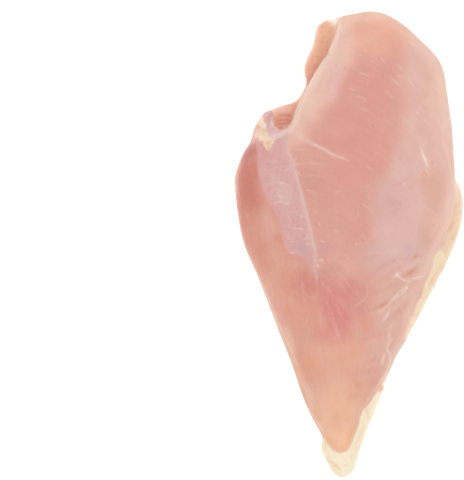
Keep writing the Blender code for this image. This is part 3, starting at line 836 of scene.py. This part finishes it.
# What is drawn on the skin side: lines, half width, tone, strength, and how far they stand out
DRAWN = (
    # The folds' rows lay painted shade in the folds; the pale folds' row lays painted highlights beside them.
    (SOFT_FOLDS, 1.1, FOLD_SHADE_TONE, 0.50, -0.18),
    (FAINT_FOLDS, 0.6, FOLD_SHADE_TONE, 0.30, -0.04),
    (FOLD_HIGHLIGHTS, 0.9, (240, 208, 198), 0.34, 0.10),
    (ROLLED_FOLDS, 0.65, (228, 164, 152), 0.28, -0.03),
    (ORANGE_FOLDS, 0.60, ORANGE_FOLD_SHADE_TONE, 0.70, -0.16),
    ((TENDON,), 0.80, SILVER_EDGE_TONE, 0.80, 0.14),
    ((TENDON,), 0.38, VEIN_TONE, 0.36, 0.06),
    ((CROSS_TENDON,), 0.80, PALE_TONE, 0.40, 0.08),
    ((CROSS_TENDON[3:],), 0.42, VEIN_TONE, 0.50, 0.06),
    ((TENDON_ROOT,), 0.42, VEIN_TONE, 0.70, 0.10),
    ((POCKET_RIM,), 0.45, PALE_TONE, 0.55, 0.08),
    ((MEMBRANE_FOLD,), 0.50, (240, 216, 202), 0.60, 0.06),
    (WEB, 0.34, PALE_TONE, 0.46, 0.02),
    (FRAYS, 0.34, PALE_TONE, 0.58, 0.03),
    (KNOT, 0.45, VEIN_TONE, 0.72, 0.12),
    (STAR, 0.42, VEIN_TONE, 0.65, 0.12),
    (CROWN_THREADS, 0.33, PALE_TONE, 0.48, 0.04),
    (MIDDLE_THREADS, 0.36, PALE_TONE, 0.30, 0.03),
    (CURLED_THREADS, 0.36, PALE_TONE, 0.24, 0.03),
    (BLUSH_THREADS, 0.30, (244, 198, 192), 0.28, 0.03),
    (WING_RIM_LINES, 0.50, VEIN_TONE, 0.40, 0.06),
    ((KEEL_RIM_LINE,), 0.50, VEIN_TONE, 0.45, 0.05),
    ((KEEL_VEIN,), 0.60, VEIN_TONE, 0.95, 0.16),
    ((KEEL_VEIN,), 0.42, (255, 236, 228), 0.40, 0.04),
    (KEEL_THREADS, 0.40, (246, 224, 214), 0.34, 0.03),
    ((VEIN_TIP,), 0.40, VEIN_TONE, 0.45, 0.05),
    (FORK_VEINS, 0.54, VEIN_TONE, 0.74, 0.12),
    (LOW_VEINS, 0.50, VEIN_TONE, 0.66, 0.10),
)


def lay(colour, tone, share):
    """Lays a tone over the colours, as strongly as its share at each point."""
    return colour + (linear(tone) - colour) * share[:, None]


def lay_all(colour, layers):
    """Lays tones in turn; each layer says what it is, its tone and its share."""
    for _, tone, share in layers:
        colour = lay(colour, tone, share)
    return colour


def uneven(points, share, size, seed):
    """The share at each point, stronger in places and weaker in others."""
    on = np.nonzero(share > 0.02)[0]
    share = share.copy()
    share[on] *= 0.72 + 0.5 * lumps(points[on], size, seed)
    return np.clip(share, 0.0, 1.0)


def lay_areas(colour, plan, areas):
    """Lays the tones of soft areas in turn."""
    for _, centre, radii, turn, tone, strength in areas:
        colour = lay(colour, tone, strength * spot(plan, centre, radii, turn))
    return colour


def low_down(points):
    """1 on the flap and in the pocket, which lie below the rolled side, and 0 above them."""
    return fade(points[:, 2], *LOW_HEIGHTS)


def silver_depth(plan):
    """How far each point is inside the silver skin, which takes in the tendon."""
    return np.maximum(depth_inside(plan, SILVER_SKIN), 0.45 - line_gap(plan, TENDON[:-1]))


def silver_colour(points):
    """Silver skin: pink at its top, pale beside the tendon and lilac at its low end."""
    plan = points[:, :2]
    tendon = np.exp(-((line_gap(plan, TENDON[:12]) / 1.8) ** 2))
    return lay_all(np.tile(linear(SILVER_TONE), (len(points), 1)), (
        ("pink top", (222, 160, 152), 0.8 * spot(plan, (-33.5, 37.0), (5.0, 7.0), 0.0, 0.0)),
        ("pale middle", (224, 183, 180), 0.9 * spot(plan, (-26.5, 21.0), (6.5, 14.0), 20.0, 0.0)),
        ("lilac end", (212, 166, 170), 0.9 * spot(plan, (-18.5, -1.0), (5.0, 5.0))),
        ("pale by the tendon", SILVER_EDGE_TONE, 0.55 * tendon),
    ))


def silver_share(points, normals):
    """1 on the silver skin and 0 off it, with a border blurred at its low end and by the red flank."""
    depth = silver_depth(points[:, :2])
    blur = 1.0 + 2.4 * fade(points[:, 1], 18.0, 4.0) * fade(depth, 3.0, 1.0)
    blur += 1.6 * fade(points[:, 1], 18.0, 26.0) * fade(points[:, 0], -30.0, -33.0)
    border = depth + 0.12 * blur * lumps(points, 1.6, 17.0)
    return fade(border, -0.35 * blur, 0.30 * blur) * fade(normals[:, 2], -0.2, 0.1)


def soaking_share(points):
    """How much light soaks into the flesh: less beside the pieces laid over it, and none under them."""
    plan = points[:, :2]
    areas = (KEEL_FAT, TAIL_FAT, SHOULDER_FAT, FLAP_FAT, POCKET_LIP)
    depth = np.max([depth_inside(plan, area) for area in areas], axis=0)
    return SOAKING * (1.0 - fade(depth, -2.4, -0.6))


def broad_tone_and_sheen_layers(plan):
    """The side towards the keel, pale partly with its own thin membrane and partly with painted sheen, and
    the rolled edge and the band along its overhang, pale with painted sheen.
    """
    return (
        # Painted sheen on the keel side over its pale membrane, on the rolled edge and along the overhang.
        ("keel side", (235, 193, 181), 0.9 * patch(plan, KEEL_SIDE, 4.5)),
        ("rolled edge", (241, 198, 182), 0.9 * patch(plan, ROLLED_EDGE, 3.5)),
        ("overhang", (243, 211, 196), 0.65 * fade(line_gap(plan, OVERHANG), 8.0, 0.5)),
    )


def slope_shade_and_sheen_layers(points, normals):
    """Tones that follow how steep the surface is, most of them painted shade on the sloping sides, with a
    painted sheen on the steepest rim.
    """
    plan, up = points[:, :2], normals[:, 2]
    red = spot(plan, (-40.0, 18.0), (14.0, 40.0), 4.0)
    tan = spot(plan, (-46.0, 27.0), (6.0, 14.0), 6.0) * fade(up, -0.25, 0.05)
    tan = tan * (0.7 + 0.5 * lumps(points, 4.0, 53.0)) * fade(up, -0.1, 0.25)
    rim = fade(up, 0.26, 0.06) * fade(up, -0.3, 0.0)
    belt = fade(up, 0.66, 0.54) * fade(up, 0.24, 0.38)
    belt = belt * fade(plan[:, 0], -2.0, -10.0) * fade(plan[:, 1], 4.0, -14.0)
    return (
        # Painted shade on the sloping sides: tan, and red on the wing.
        ("tan side", (215, 171, 143), 0.75 * fade(up, 0.58, 0.20) * (1.0 - red)),
        ("red bend of the wing", (200, 104, 84), 0.36 * red * fade(up, 0.82, 0.55)),
        ("red side of the wing", (200, 110, 86), 0.40 * red * fade(up, 0.64, 0.36)),
        ("tan rim of the wing", (229, 182, 149), 0.8 * tan * fade(up, 0.50, 0.32)),
        # Painted sheen on the steepest rim.
        ("pale rim", (218, 192, 172), 0.6 * rim * (1.0 - red)),
        # Painted shade on the slopes beside the belly.
        ("orange belt beside the belly", (214, 152, 122), 0.38 * belt),
    )


def blotch_layers(points):
    """Large soft blotches all over."""
    blotch = lumps(points, 9.0, 5.0) + 0.5 * lumps(points, 4.0, 9.0)
    return (
        ("pale blotches", (238, 192, 178), 0.20 * fade(blotch, 0.0, 1.0)),
        ("red blotches", (214, 142, 126), 0.20 * fade(blotch, 0.0, -1.0)),
    )


def flap_layers(points):
    """The flap: cream at its top, redder towards the edge that hangs over it, with painted shadow in the
    crease under that edge and on the edge's rim above the flap.
    """
    plan, low = points[:, :2], low_down(points)
    y, inside, gap = plan[:, 1], depth_inside(plan, FLAP), line_gap(plan, OVERHANG[:12])
    flap = low * fade(inside, -0.8, 0.4)
    pebbles = flap * lumps(points, 1.1, 37.0)
    return (
        ("peach", (241, 184, 154), flap),
        ("cream top", (249, 198, 162), 0.6 * flap * fade(y, 80.0, 88.0)),
        ("orange clouds", (230, 162, 128), 0.35 * flap * fade(lumps(points, 3.0, 33.0), 0.0, 0.7)),
        ("orange end", (230, 162, 130), 0.7 * flap * fade(y, 79.0, 67.0)),
        # Painted shadow in the crease under the overhanging edge.
        ("painted shadow in the crease", (214, 132, 108), 0.5 * flap * fade(gap, 3.4, 0.2) * fade(y, 90.0, 76.0)),
        ("painted shadow under the edge", (208, 126, 102), 0.5 * flap * fade(gap, 2.2, 0.4) * fade(y, 76.0, 70.0)),
        ("pale pebbles", (252, 208, 180), 0.20 * fade(pebbles, 0.1, 0.6)),
        ("dark pebbles", (214, 140, 110), 0.12 * fade(pebbles, -0.1, -0.6)),
        ("cream tip", (252, 220, 192), 0.9 * flap * spot(plan, (-6.2, 90.4), (3.6, 2.8))),
        # Painted shadow on the rim of the edge that hangs over the flap.
        ("painted shadow on the edge over the flap", (214, 150, 128), 0.7 * (1.0 - low) * fade(inside, -0.1, 0.3)),
    )


def pocket_layers(points):
    """The pocket, whose pale tone is partly painted light against the shade in it, the strip between it and
    the flap, and a painted highlight along the shelf of the edge.
    """
    plan, low = points[:, :2], low_down(points)
    y, pocket = plan[:, 1], low * patch(plan, POCKET, 0.6)
    stripes = low * uneven(points, traced(plan, POCKET_STRIPES, 0.5), 1.2, 60.0)
    shelf = fade(points[:, 2], 17.0, 19.0) * uneven(points, traced(plan, (OVERHANG,), 0.8), 3.0, 50.0)
    return (
        # The pocket's pale tone is its own colour lightened with painted light against the shade in it.
        ("pale pocket", (255, 214, 194), pocket),
        ("orange top", (238, 186, 160), 0.85 * pocket * fade(y, 54.6, 56.8)),
        ("orange corner", (234, 178, 158), 0.7 * pocket * spot(plan, (-22.2, 54.6), (2.2, 3.0))),
        ("pink bottom", (252, 200, 182), 0.8 * pocket * fade(y, 53.4, 51.6)),
        ("red corner", (234, 158, 142), 0.8 * pocket * spot(plan, (-23.6, 50.6), (2.8, 3.8))),
        ("pale lumps", (250, 208, 190), 0.5 * pocket * fade(lumps(points, 1.8, 35.0), 0.1, 0.7)),
        ("stripes", (216, 130, 112), 0.6 * stripes),
        ("cream strip", (234, 204, 178), 0.6 * low * spot(plan, (-19.8, 60.4), (1.6, 4.8), -42.0, 0.3)),
        # Painted highlight along the shelf of the overhanging edge.
        ("pale shelf", (250, 226, 212), 0.7 * shelf),
    )


def border_layers(plan, facing):
    """The flesh beside the fat, with cream bands of painted light along the fat's borders."""
    keel, tail, shoulder = [depth_inside(plan, area) for area in (KEEL_FAT, TAIL_FAT, SHOULDER_FAT)]
    pale = fade(keel, -3.0, -0.4) * fade(plan[:, 1], -26.0, -8.0)
    orange = fade(tail, -4.0, -0.9) * fade(plan[:, 1], -71.0, -77.0)
    return (
        ("pale beside the keel's fat", (236, 198, 180), 0.5 * pale * facing),
        ("orange by the tail's fat", (240, 180, 138), 0.5 * orange * facing),
        # Painted light: cream bands that cover the shade along the fat's borders.
        ("cream against the fat", (250, 222, 196), 0.6 * fade(np.maximum(keel, tail), -0.7, 0.4) * facing),
        ("cream against the shoulder's fat", (244, 210, 190), 0.4 * fade(shoulder, -0.9, 0.2) * facing),
        ("red rim of the wing", (192, 106, 96), 0.75 * spot(plan, (-41.2, 37.6), (3.4, 7.5), -25.0) * facing),
    )


def lip_layers(plan, facing):
    """The lilac membrane on the pocket's lip, with painted light on its bend towards the pocket."""
    lip = fade(depth_inside(plan, POCKET_LIP), -0.3, 0.4) * facing
    return (
        ("lilac", (225, 185, 188), 0.9 * lip),
        ("pink top", (229, 192, 192), 0.8 * lip * fade(plan[:, 1], 47.4, 49.4)),
        # Painted light on the bend that faces the pocket, against the shade there.
        ("pale bend", (250, 228, 228), 0.9 * lip * spot(plan, (-30.8, 50.2), (1.5, 3.4))),
        ("red hollow", (228, 168, 156), 0.85 * lip * spot(plan, (-32.8, 51.0), (1.7, 2.2))),
    )


def lay_drawn(colour, points, facing):
    """Lays the drawn lines, the specks and the pores."""
    plan = points[:, :2]
    for order, (lines, width, tone, strength, _) in enumerate(DRAWN):
        share = uneven(points, traced(plan, lines, width), 2.0, 20.0 + order)
        colour = lay(colour, tone, strength * share * facing)
    return lay_all(colour, (
        ("specks", (250, 236, 228), 0.5 * dotted(plan, SPECKS, 0.34) * facing),
        ("pores", (200, 128, 116), 0.4 * dotted(plan, PORES, 0.38) * facing),
    ))


def cut_layers(points, normals):
    """The cut side: uneven red with the inner fillet's pale line."""
    under = fade(normals[:, 2], -0.25, -0.75)
    line = uneven(points, traced(points[:, :2], (CUT_TENDON,), 0.9), 3.0, 70.0)
    return (
        ("cut side", (219, 148, 134), under),
        ("pale blotches", (238, 196, 180), 0.45 * under * fade(lumps(points, 16.0, 43.0), 0.0, 0.6)),
        ("red blotches", (200, 120, 106), 0.35 * under * fade(lumps(points, 11.0, 47.0), 0.0, -0.6)),
        ("pale line", VEIN_TONE, 0.6 * under * line),
    )


def flesh_colour(points, normals):
    """The flesh's colour at points near its surface."""
    plan = points[:, :2]
    facing = fade(normals[:, 2], -0.2, 0.1)
    wander = plan + 1.6 * np.column_stack([lumps(points, 7.0, 11.0), lumps(points, 7.0, 13.0)])
    beside = fade(depth_inside(plan, SILVER_SKIN), -3.4, -0.8) * fade(plan[:, 1], 22.0, 14.0)
    colour = np.tile(linear(FLESH_TONE), (len(points), 1))
    colour = lay_areas(colour, wander, FIRST_AREAS)
    colour = lay_all(colour, broad_tone_and_sheen_layers(wander))
    colour = lay_areas(colour, wander, LATER_AREAS)
    colour = lay_all(colour, slope_shade_and_sheen_layers(points, normals))
    colour = lay_all(colour, blotch_layers(points))
    colour = lay(colour, (222, 150, 128), 0.45 * beside * facing * fade(plan[:, 0], -15.0, -19.0))
    colour = lay_all(colour, flap_layers(points))
    colour = lay_all(colour, pocket_layers(points))
    colour = lay_all(colour, border_layers(plan, facing))
    colour += (silver_colour(points) - colour) * (0.95 * silver_share(points, normals))[:, None]
    colour = lay_all(colour, lip_layers(plan, facing))
    colour = lay_drawn(colour, points, facing) * WARMTH
    return lay_all(colour, cut_layers(points, normals))


def fat_depth(points, normals):
    """How far each point is inside an area of fat; the cut side's flat face has none."""
    plan = points[:, :2]
    sides = np.maximum(depth_inside(plan, KEEL_FAT), depth_inside(plan, TAIL_FAT))
    tops = np.maximum(depth_inside(plan, SHOULDER_FAT), depth_inside(plan, FLAP_FAT))
    depth = np.maximum(sides, np.minimum(tops, 4.0 * (normals[:, 2] - 0.05)))
    near = np.nonzero(np.abs(depth) < 3.0)[0]
    depth[near] += 0.30 * lumps(points[near], 2.8, 6.0) + 0.12 * lumps(points[near], 1.2, 8.0)
    depth[near] += 1.6 * lumps(points[near], 6.0, 12.0) * fade(normals[near, 2], 0.05, -0.2)
    return np.minimum(depth, np.minimum(points[:, 2] - 1.3, 3.0 * (normals[:, 2] + 0.45)))


def flesh_relief(points, normals):
    """How far the flesh stands out from the solid's even surface, in millimetres."""
    plan = points[:, :2]
    upper = fade(normals[:, 2], 0.1, 0.5)
    along, across = fibre_place(points, normals)
    strands = np.column_stack([along * 0.05, across * 0.42, points[:, 2] * 0.05])
    lift = 0.22 * lumps(points, 15.0) + 0.10 * lumps(points, 7.0, 3.1)
    lift += (0.02 + 0.12 * fade(normals[:, 2], -0.2, -0.7)) * lumps(strands, 1.0, 7.0)
    lift -= upper * 0.30 * fade(depth_inside(plan, SILVER_SKIN), -0.4, 2.0)
    for lines, width, _, _, height in DRAWN:
        lift += upper * height * traced(plan, lines, width)
    low = low_down(points)
    lift -= 0.35 * traced(plan, POCKET_STRIPES, 0.5) * low
    lift += 0.06 * low * fade(depth_inside(plan, FLAP), -0.5, 1.0) * lumps(points, 1.1, 37.0)
    lift += 0.30 * lumps(points, 1.9, 71.0) * traced(plan, (OVERHANG,), 1.3)
    lift -= 0.45 * dotted(plan, NICKS, 0.7)
    lift -= 0.25 * fade(fat_depth(points, normals), 0.2, 1.4)
    return lift


def near_features(plan, finest):
    """Which points lie on or beside something fine, or beside the finest only."""
    if finest:
        lines = [TENDON, CROSS_TENDON, TENDON_ROOT, KEEL_VEIN, VEIN_TIP, *KNOT, *FORK_VEINS, *LOW_VEINS]
        return traced(plan, lines, 0.65, 0.01) > 0.25
    lines = [line for drawn in DRAWN[1:] for line in drawn[0]]
    near = traced(plan, lines + list(POCKET_STRIPES) + [OVERHANG], 0.9, 0.01) > 0.25
    near |= np.abs(silver_depth(plan)) < 0.8
    near |= np.abs(depth_inside(plan, POCKET_LIP)) < 0.8
    near |= depth_inside(plan, FLAP) > 0.0
    for centre in SPECKS + PORES:
        near |= np.linalg.norm(plan - np.asarray(centre), axis=1) < 1.3
    return near


def refine(piece, finest):
    """Splits the faces beside fine things into four and evens them."""
    points, normals = mesh_points(piece.data)
    near = near_features(points[:, :2], finest) & (normals[:, 2] > 0.05)
    bm = bmesh.new()
    bm.from_mesh(piece.data)
    edges = [e for e in bm.edges if near[e.verts[0].index] and near[e.verts[1].index]]
    made = bmesh.ops.subdivide_edges(bm, edges=edges, cuts=1, use_grid_fill=True)
    new = [item for item in made["geom_inner"] if isinstance(item, bmesh.types.BMVert)]
    even(bm, new, 2)
    bm.to_mesh(piece.data)
    bm.free()


def drop_points(bm, marked):
    """Deletes the marked points."""
    bm.verts.ensure_lookup_table()
    bmesh.ops.delete(bm, geom=[bm.verts[i] for i in np.nonzero(marked)[0]], context="VERTS")


def even(bm, verts, times):
    """Smooths the points a little."""
    for _ in range(times):
        bmesh.ops.smooth_vert(bm, verts=verts, factor=0.5, use_axis_x=True, use_axis_y=True, use_axis_z=True)


def carve(piece):
    """Gives the flesh its relief, and keeps it from sinking into the floor."""
    points, normals = mesh_points(piece.data)
    points = points + normals * flesh_relief(points, normals)[:, None]
    points[:, 2] = np.maximum(points[:, 2], 0.0)
    move_points(piece.data, points)


def flesh_material():
    """Moist translucent flesh with fine fibres, silver skin and membrane."""
    n = Nodes("raw_flesh")
    place = n.place()
    fibre = n.kept("fibre", "Vector")
    streaks = n.cloud(n.stretched(fibre, (0.06, 0.75, 0.1)), 1.0, 3.0, 0.65)
    threads = n.cloud(n.stretched(fibre, (0.10, 1.7, 0.1)), 1.0, 2.0, 0.6)
    grain = n.cloud(place, 900.0, 3.0, 0.6)
    silver = n.kept("silver")
    bare = n.ramp(silver, 0.0, 1.0, 1.0, 0.2)
    film = n.cloud(place, 420.0, 4.0, 0.65)
    light = n.times(bare, n.ramp(streaks, 0.45, 0.75, 0.0, 0.11))
    dark = n.times(bare, n.ramp(streaks, 0.45, 0.25, 0.0, 0.09))
    colour = n.mix(light, n.kept("tone", "Color"), rgba((242, 204, 192)))
    colour = n.mix(dark, colour, rgba((210, 130, 114)))
    colour = n.mix(n.times(bare, n.ramp(threads, 0.60, 0.82, 0.0, 0.17)), colour, rgba(PALE_TONE))
    colour = n.mix(n.ramp(grain, 0.45, 0.75, 0.0, 0.08), colour, rgba((246, 214, 203)))
    colour = n.mix(n.ramp(film, 0.42, 0.30, 0.0, 0.10), colour, rgba((206, 132, 120)))
    for turn in (12.0, -52.0, 78.0):
        weave = n.cloud(n.stretched(n.turned(place, turn), (110.0, 1000.0, 300.0)), 1.0, 2.0, 0.6)
        colour = n.mix(n.times(silver, n.ramp(weave, 0.52, 0.74, 0.0, 0.20)), colour, rgba((238, 206, 200)))
        colour = n.mix(n.times(silver, n.ramp(weave, 0.46, 0.28, 0.0, 0.12)), colour, rgba((204, 142, 140)))
    n.translucent(n.kept("soaking"), 0.0026, (1.0, 0.42, 0.30))
    bumps = n.bump(0.2, 0.0003, streaks, n.bump(0.25, 0.0002, threads))
    return n.finish(colour, n.ramp(film, 0.3, 0.7, 0.36, 0.50), bumps, 0.18, 0.28)


def build_flesh():
    """The fillet itself, which stands for the solid."""
    bm = bmesh.new()
    bm.from_mesh(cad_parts["chicken_breast"].data)
    bmesh.ops.remove_doubles(bm, verts=bm.verts, dist=0.001 * MM)
    piece = new_piece("flesh", bm)
    remesh = piece.modifiers.new("remesh", "REMESH")
    remesh.mode = "VOXEL"
    remesh.voxel_size = CELL * MM
    smooth = piece.modifiers.new("smooth", "SMOOTH")
    smooth.factor = 0.5
    smooth.iterations = SMOOTHING
    apply_modifiers(piece)
    refine(piece, finest=False)
    refine(piece, finest=True)
    carve(piece)
    points, normals = mesh_points(piece.data)
    store_tone(piece.data, flesh_colour(points, normals))
    along, across = fibre_place(points, normals)
    store(piece.data, "fibre", np.column_stack([along, across, points[:, 2]]))
    store(piece.data, "silver", silver_share(points, normals))
    store(piece.data, "soaking", soaking_share(points))
    finish_piece(piece, flesh_material())
    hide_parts("chicken_breast")
    return piece


# The fat's tones: the tail's, the keel's and its lobules', which lie above the tail's top
FAT_TONE = (255, 236, 208)
KEEL_FAT_TONE = (246, 213, 182)
LOBULE_TONE = (252, 229, 200)
TAIL_TOP = -50.0

# Soft areas of tone on the fat: what it is, centre, radii, turn, tone, strength
FAT_AREAS = (
    ("low tail", (-2.0, -92.0), (11.0, 10.0), 0.0, (255, 242, 215), 0.95),
    ("strip above the tail", (9.5, -67.0), (5.0, 11.0), -24.0, (253, 229, 200), 0.9),
    ("tail's left corner", (-9.5, -81.5), (3.0, 3.0), 0.0, (252, 226, 192), 0.8),
    ("yellow fold of the tail", (-5.4, -91.4), (3.0, 4.0), 40.0, (250, 232, 190), 0.7),
    ("peach beside the keel", (42.6, 13.0), (1.9, 9.0), -12.0, (239, 203, 174), 0.9),
    ("orange streak by the keel", (41.2, 6.5), (1.5, 5.0), -30.0, (240, 184, 148), 0.7),
    ("brown wedge", (42.6, 2.8), (1.0, 1.9), -35.0, (231, 186, 146), 0.8),
    ("mustard rim", (38.9, -9.4), (1.2, 3.2), -27.0, (234, 198, 154), 0.8),
    ("shoulder", (-34.5, 47.0), (8.0, 10.0), 0.0, (241, 203, 180), 1.0),
    ("shoulder's pale lump", (-35.2, 44.4), (2.6, 2.4), 0.0, (243, 212, 186), 0.7),
    ("shoulder's pale top", (-34.4, 50.0), (2.8, 3.4), 0.0, (250, 228, 212), 0.9),
    ("shoulder's pale junction", (-33.7, 48.1), (1.9, 1.6), 0.0, (253, 234, 218), 0.9),
    ("shoulder's tan point", (-32.4, 39.8), (3.0, 4.4), 0.0, (236, 197, 168), 0.95),
    ("small orange spot", (-36.2, 45.8), (1.0, 1.0), 0.0, (232, 184, 148), 0.7),
    ("pale speck", (-30.1, 42.6), (0.9, 0.8), 0.0, (250, 238, 224), 0.9),
    ("flap's pale tag", (-6.4, 91.4), (3.4, 3.0), 0.0, (255, 246, 236), 1.0),
    ("orange blot above the low fat", (13.3, -58.8), (1.6, 2.4), -25.0, (228, 160, 108), 0.9),
)


def fat_colour(points, depth):
    """Cream fat, peach beside the keel, orange with painted shade in its creases and fleshy at its rim."""
    plan = points[:, :2]
    colour = np.tile(linear(FAT_TONE), (len(points), 1))
    colour = lay(colour, KEEL_FAT_TONE, fade(plan[:, 1], -48.0, -42.0))
    colour = lay_areas(colour, plan, FAT_AREAS)
    for outline in LOBULES:
        tone = LOBULE_TONE if outline[0][1] > TAIL_TOP else FAT_TONE
        colour = lay(colour, tone, 0.9 * patch(plan, outline, 0.35))
    creases = uneven(points, traced(plan, FAT_CREASES, 0.42, 0.1), 2.5, 40.0)
    shoulder = fade(plan[:, 1], 30.0, 34.0) * fade(plan[:, 0], -28.0, -29.0)
    return lay_all(colour, (
        ("orange clouds", (236, 196, 158), 0.25 * fade(lumps(points, 2.2, 15.0), 0.1, 0.8)),
        # Painted shade in the creases between the lobules.
        ("creases", (242, 206, 160), 0.6 * creases),
        ("fleshy rim", (246, 214, 190), 0.4 * fade(depth, 0.7, -0.1)),
        ("shoulder's lumps", (252, 228, 204), 0.5 * shoulder * fade(lumps(points, 1.5, 29.0), 0.05, 0.5)),
        ("shoulder's rim", (232, 190, 172), 0.65 * shoulder * fade(depth, 0.9, 0.0)),
        ("shoulder's orange edge", (226, 164, 132), 0.8 * spot(plan, (-37.2, 47.6), (1.9, 1.4))),
    ))


def fat_material():
    """Waxy cream fat with a fine grain."""
    n = Nodes("cream_fat")
    grain = n.cloud(n.place(), 1300.0, 3.0, 0.6)
    film = n.cloud(n.place(), 350.0, 3.0, 0.6)
    colour = n.mix(n.ramp(grain, 0.45, 0.8, 0.0, 0.25), n.kept("tone", "Color"), rgba((252, 244, 228)))
    colour = n.mix(n.ramp(film, 0.5, 0.3, 0.0, 0.15), colour, rgba((240, 208, 170)))
    n.translucent(0.15, 0.0003, (1.0, 0.8, 0.6))
    return n.finish(colour, n.ramp(film, 0.3, 0.7, 0.40, 0.52), n.bump(0.3, 0.0003, grain), 0.12, 0.3)


def over_flesh(flesh, name, depth_of, height_of, reach, cuts, thickness):
    """A thin closed shell over a part of the flesh, finer than it and with its rim sunk in it."""
    points, normals = mesh_points(flesh.data)
    bm = bmesh.new()
    bm.from_mesh(flesh.data)
    drop_points(bm, depth_of(points, normals) < -reach - SPARE)
    bmesh.ops.subdivide_edges(bm, edges=bm.edges[:], cuts=cuts, use_grid_fill=True)
    even(bm, bm.verts[:], 2 * cuts)
    piece = new_piece(name, bm)
    points, normals = mesh_points(piece.data)
    depth = depth_of(points, normals)
    move_points(piece.data, points + normals * height_of(points, depth)[:, None])
    bm = bmesh.new()
    bm.from_mesh(piece.data)
    drop_points(bm, depth < -reach)
    bmesh.ops.delete(bm, geom=[vert for vert in bm.verts if not vert.link_faces], context="VERTS")
    bm.to_mesh(piece.data)
    bm.free()
    shell = piece.modifiers.new("shell", "SOLIDIFY")
    shell.thickness = thickness * MM
    shell.offset = -1.0
    apply_modifiers(piece)
    return piece


def upward(normals):
    """Normals that look up as far as the shell does, on its lower side too."""
    return np.column_stack([np.zeros((len(normals), 2)), np.abs(normals[:, 2])])


def fat_height(points, depth):
    """Lobules of fat: swollen, with creases between them."""
    plan = points[:, :2]
    height = -0.30 + 0.48 * fade(depth, -0.6, 0.9) + 0.20 * fade(depth, 0.5, 2.6)
    swollen = np.max([patch(plan, outline, 0.45) for outline in LOBULES], axis=0)
    height += 0.20 * swollen * fade(depth, -0.2, 0.8)
    height -= 0.13 * traced(plan, FAT_CREASES, 0.6, 0.1) * fade(depth, 0.3, 1.3)
    return height + fade(depth, -0.2, 0.8) * (0.10 * lumps(points, 2.8, 4.0) + 0.04 * lumps(points, 1.2, 9.0))


def build_fat(flesh):
    """Fat that swells out of the flesh in lobules."""
    piece = over_flesh(flesh, "fat", fat_depth, fat_height, 0.9, 1, 0.9)
    points, normals = mesh_points(piece.data)
    store_tone(piece.data, fat_colour(points, fat_depth(points, upward(normals))))
    finish_piece(piece, fat_material())


def membrane_depth(points, normals):
    """How far each point is inside the membrane on the pocket's lip."""
    depth = depth_inside(points[:, :2], POCKET_LIP) + 0.12 * lumps(points, 1.6, 17.0)
    return np.minimum(depth, 4.0 * normals[:, 2] - 0.4)


def membrane_height(points, depth):
    """A thin film with low folds."""
    folds = traced(points[:, :2], (TENDON_ROOT, POCKET_RIM, MEMBRANE_FOLD), 0.45)
    return -0.16 + fade(depth, -0.45, 0.2) * (0.20 + 0.10 * folds + 0.05 * lumps(points, 2.0, 19.0))


def membrane_material():
    """Wet thin membrane with a faint cloud."""
    n = Nodes("wet_membrane")
    film = n.cloud(n.place(), 420.0, 4.0, 0.65)
    colour = n.mix(n.ramp(film, 0.38, 0.68, 0.0, 0.14), n.kept("tone", "Color"), rgba((240, 214, 210)))
    n.translucent(0.15, 0.0003, (1.0, 0.6, 0.5))
    return n.finish(colour, n.ramp(film, 0.3, 0.7, 0.30, 0.42), n.bump(0.2, 0.0002, film), 0.25, 0.22)


def build_membrane(flesh):
    """The membrane between the shoulder's fat and the pocket."""
    piece = over_flesh(flesh, "shoulder_membrane", membrane_depth, membrane_height, 0.6, 2, 0.35)
    points, normals = mesh_points(piece.data)
    store_tone(piece.data, flesh_colour(points, upward(normals)))
    finish_piece(piece, membrane_material())


set_camera()
set_light()
plain_floor()
flesh = build_flesh()
build_fat(flesh)
build_membrane(flesh)
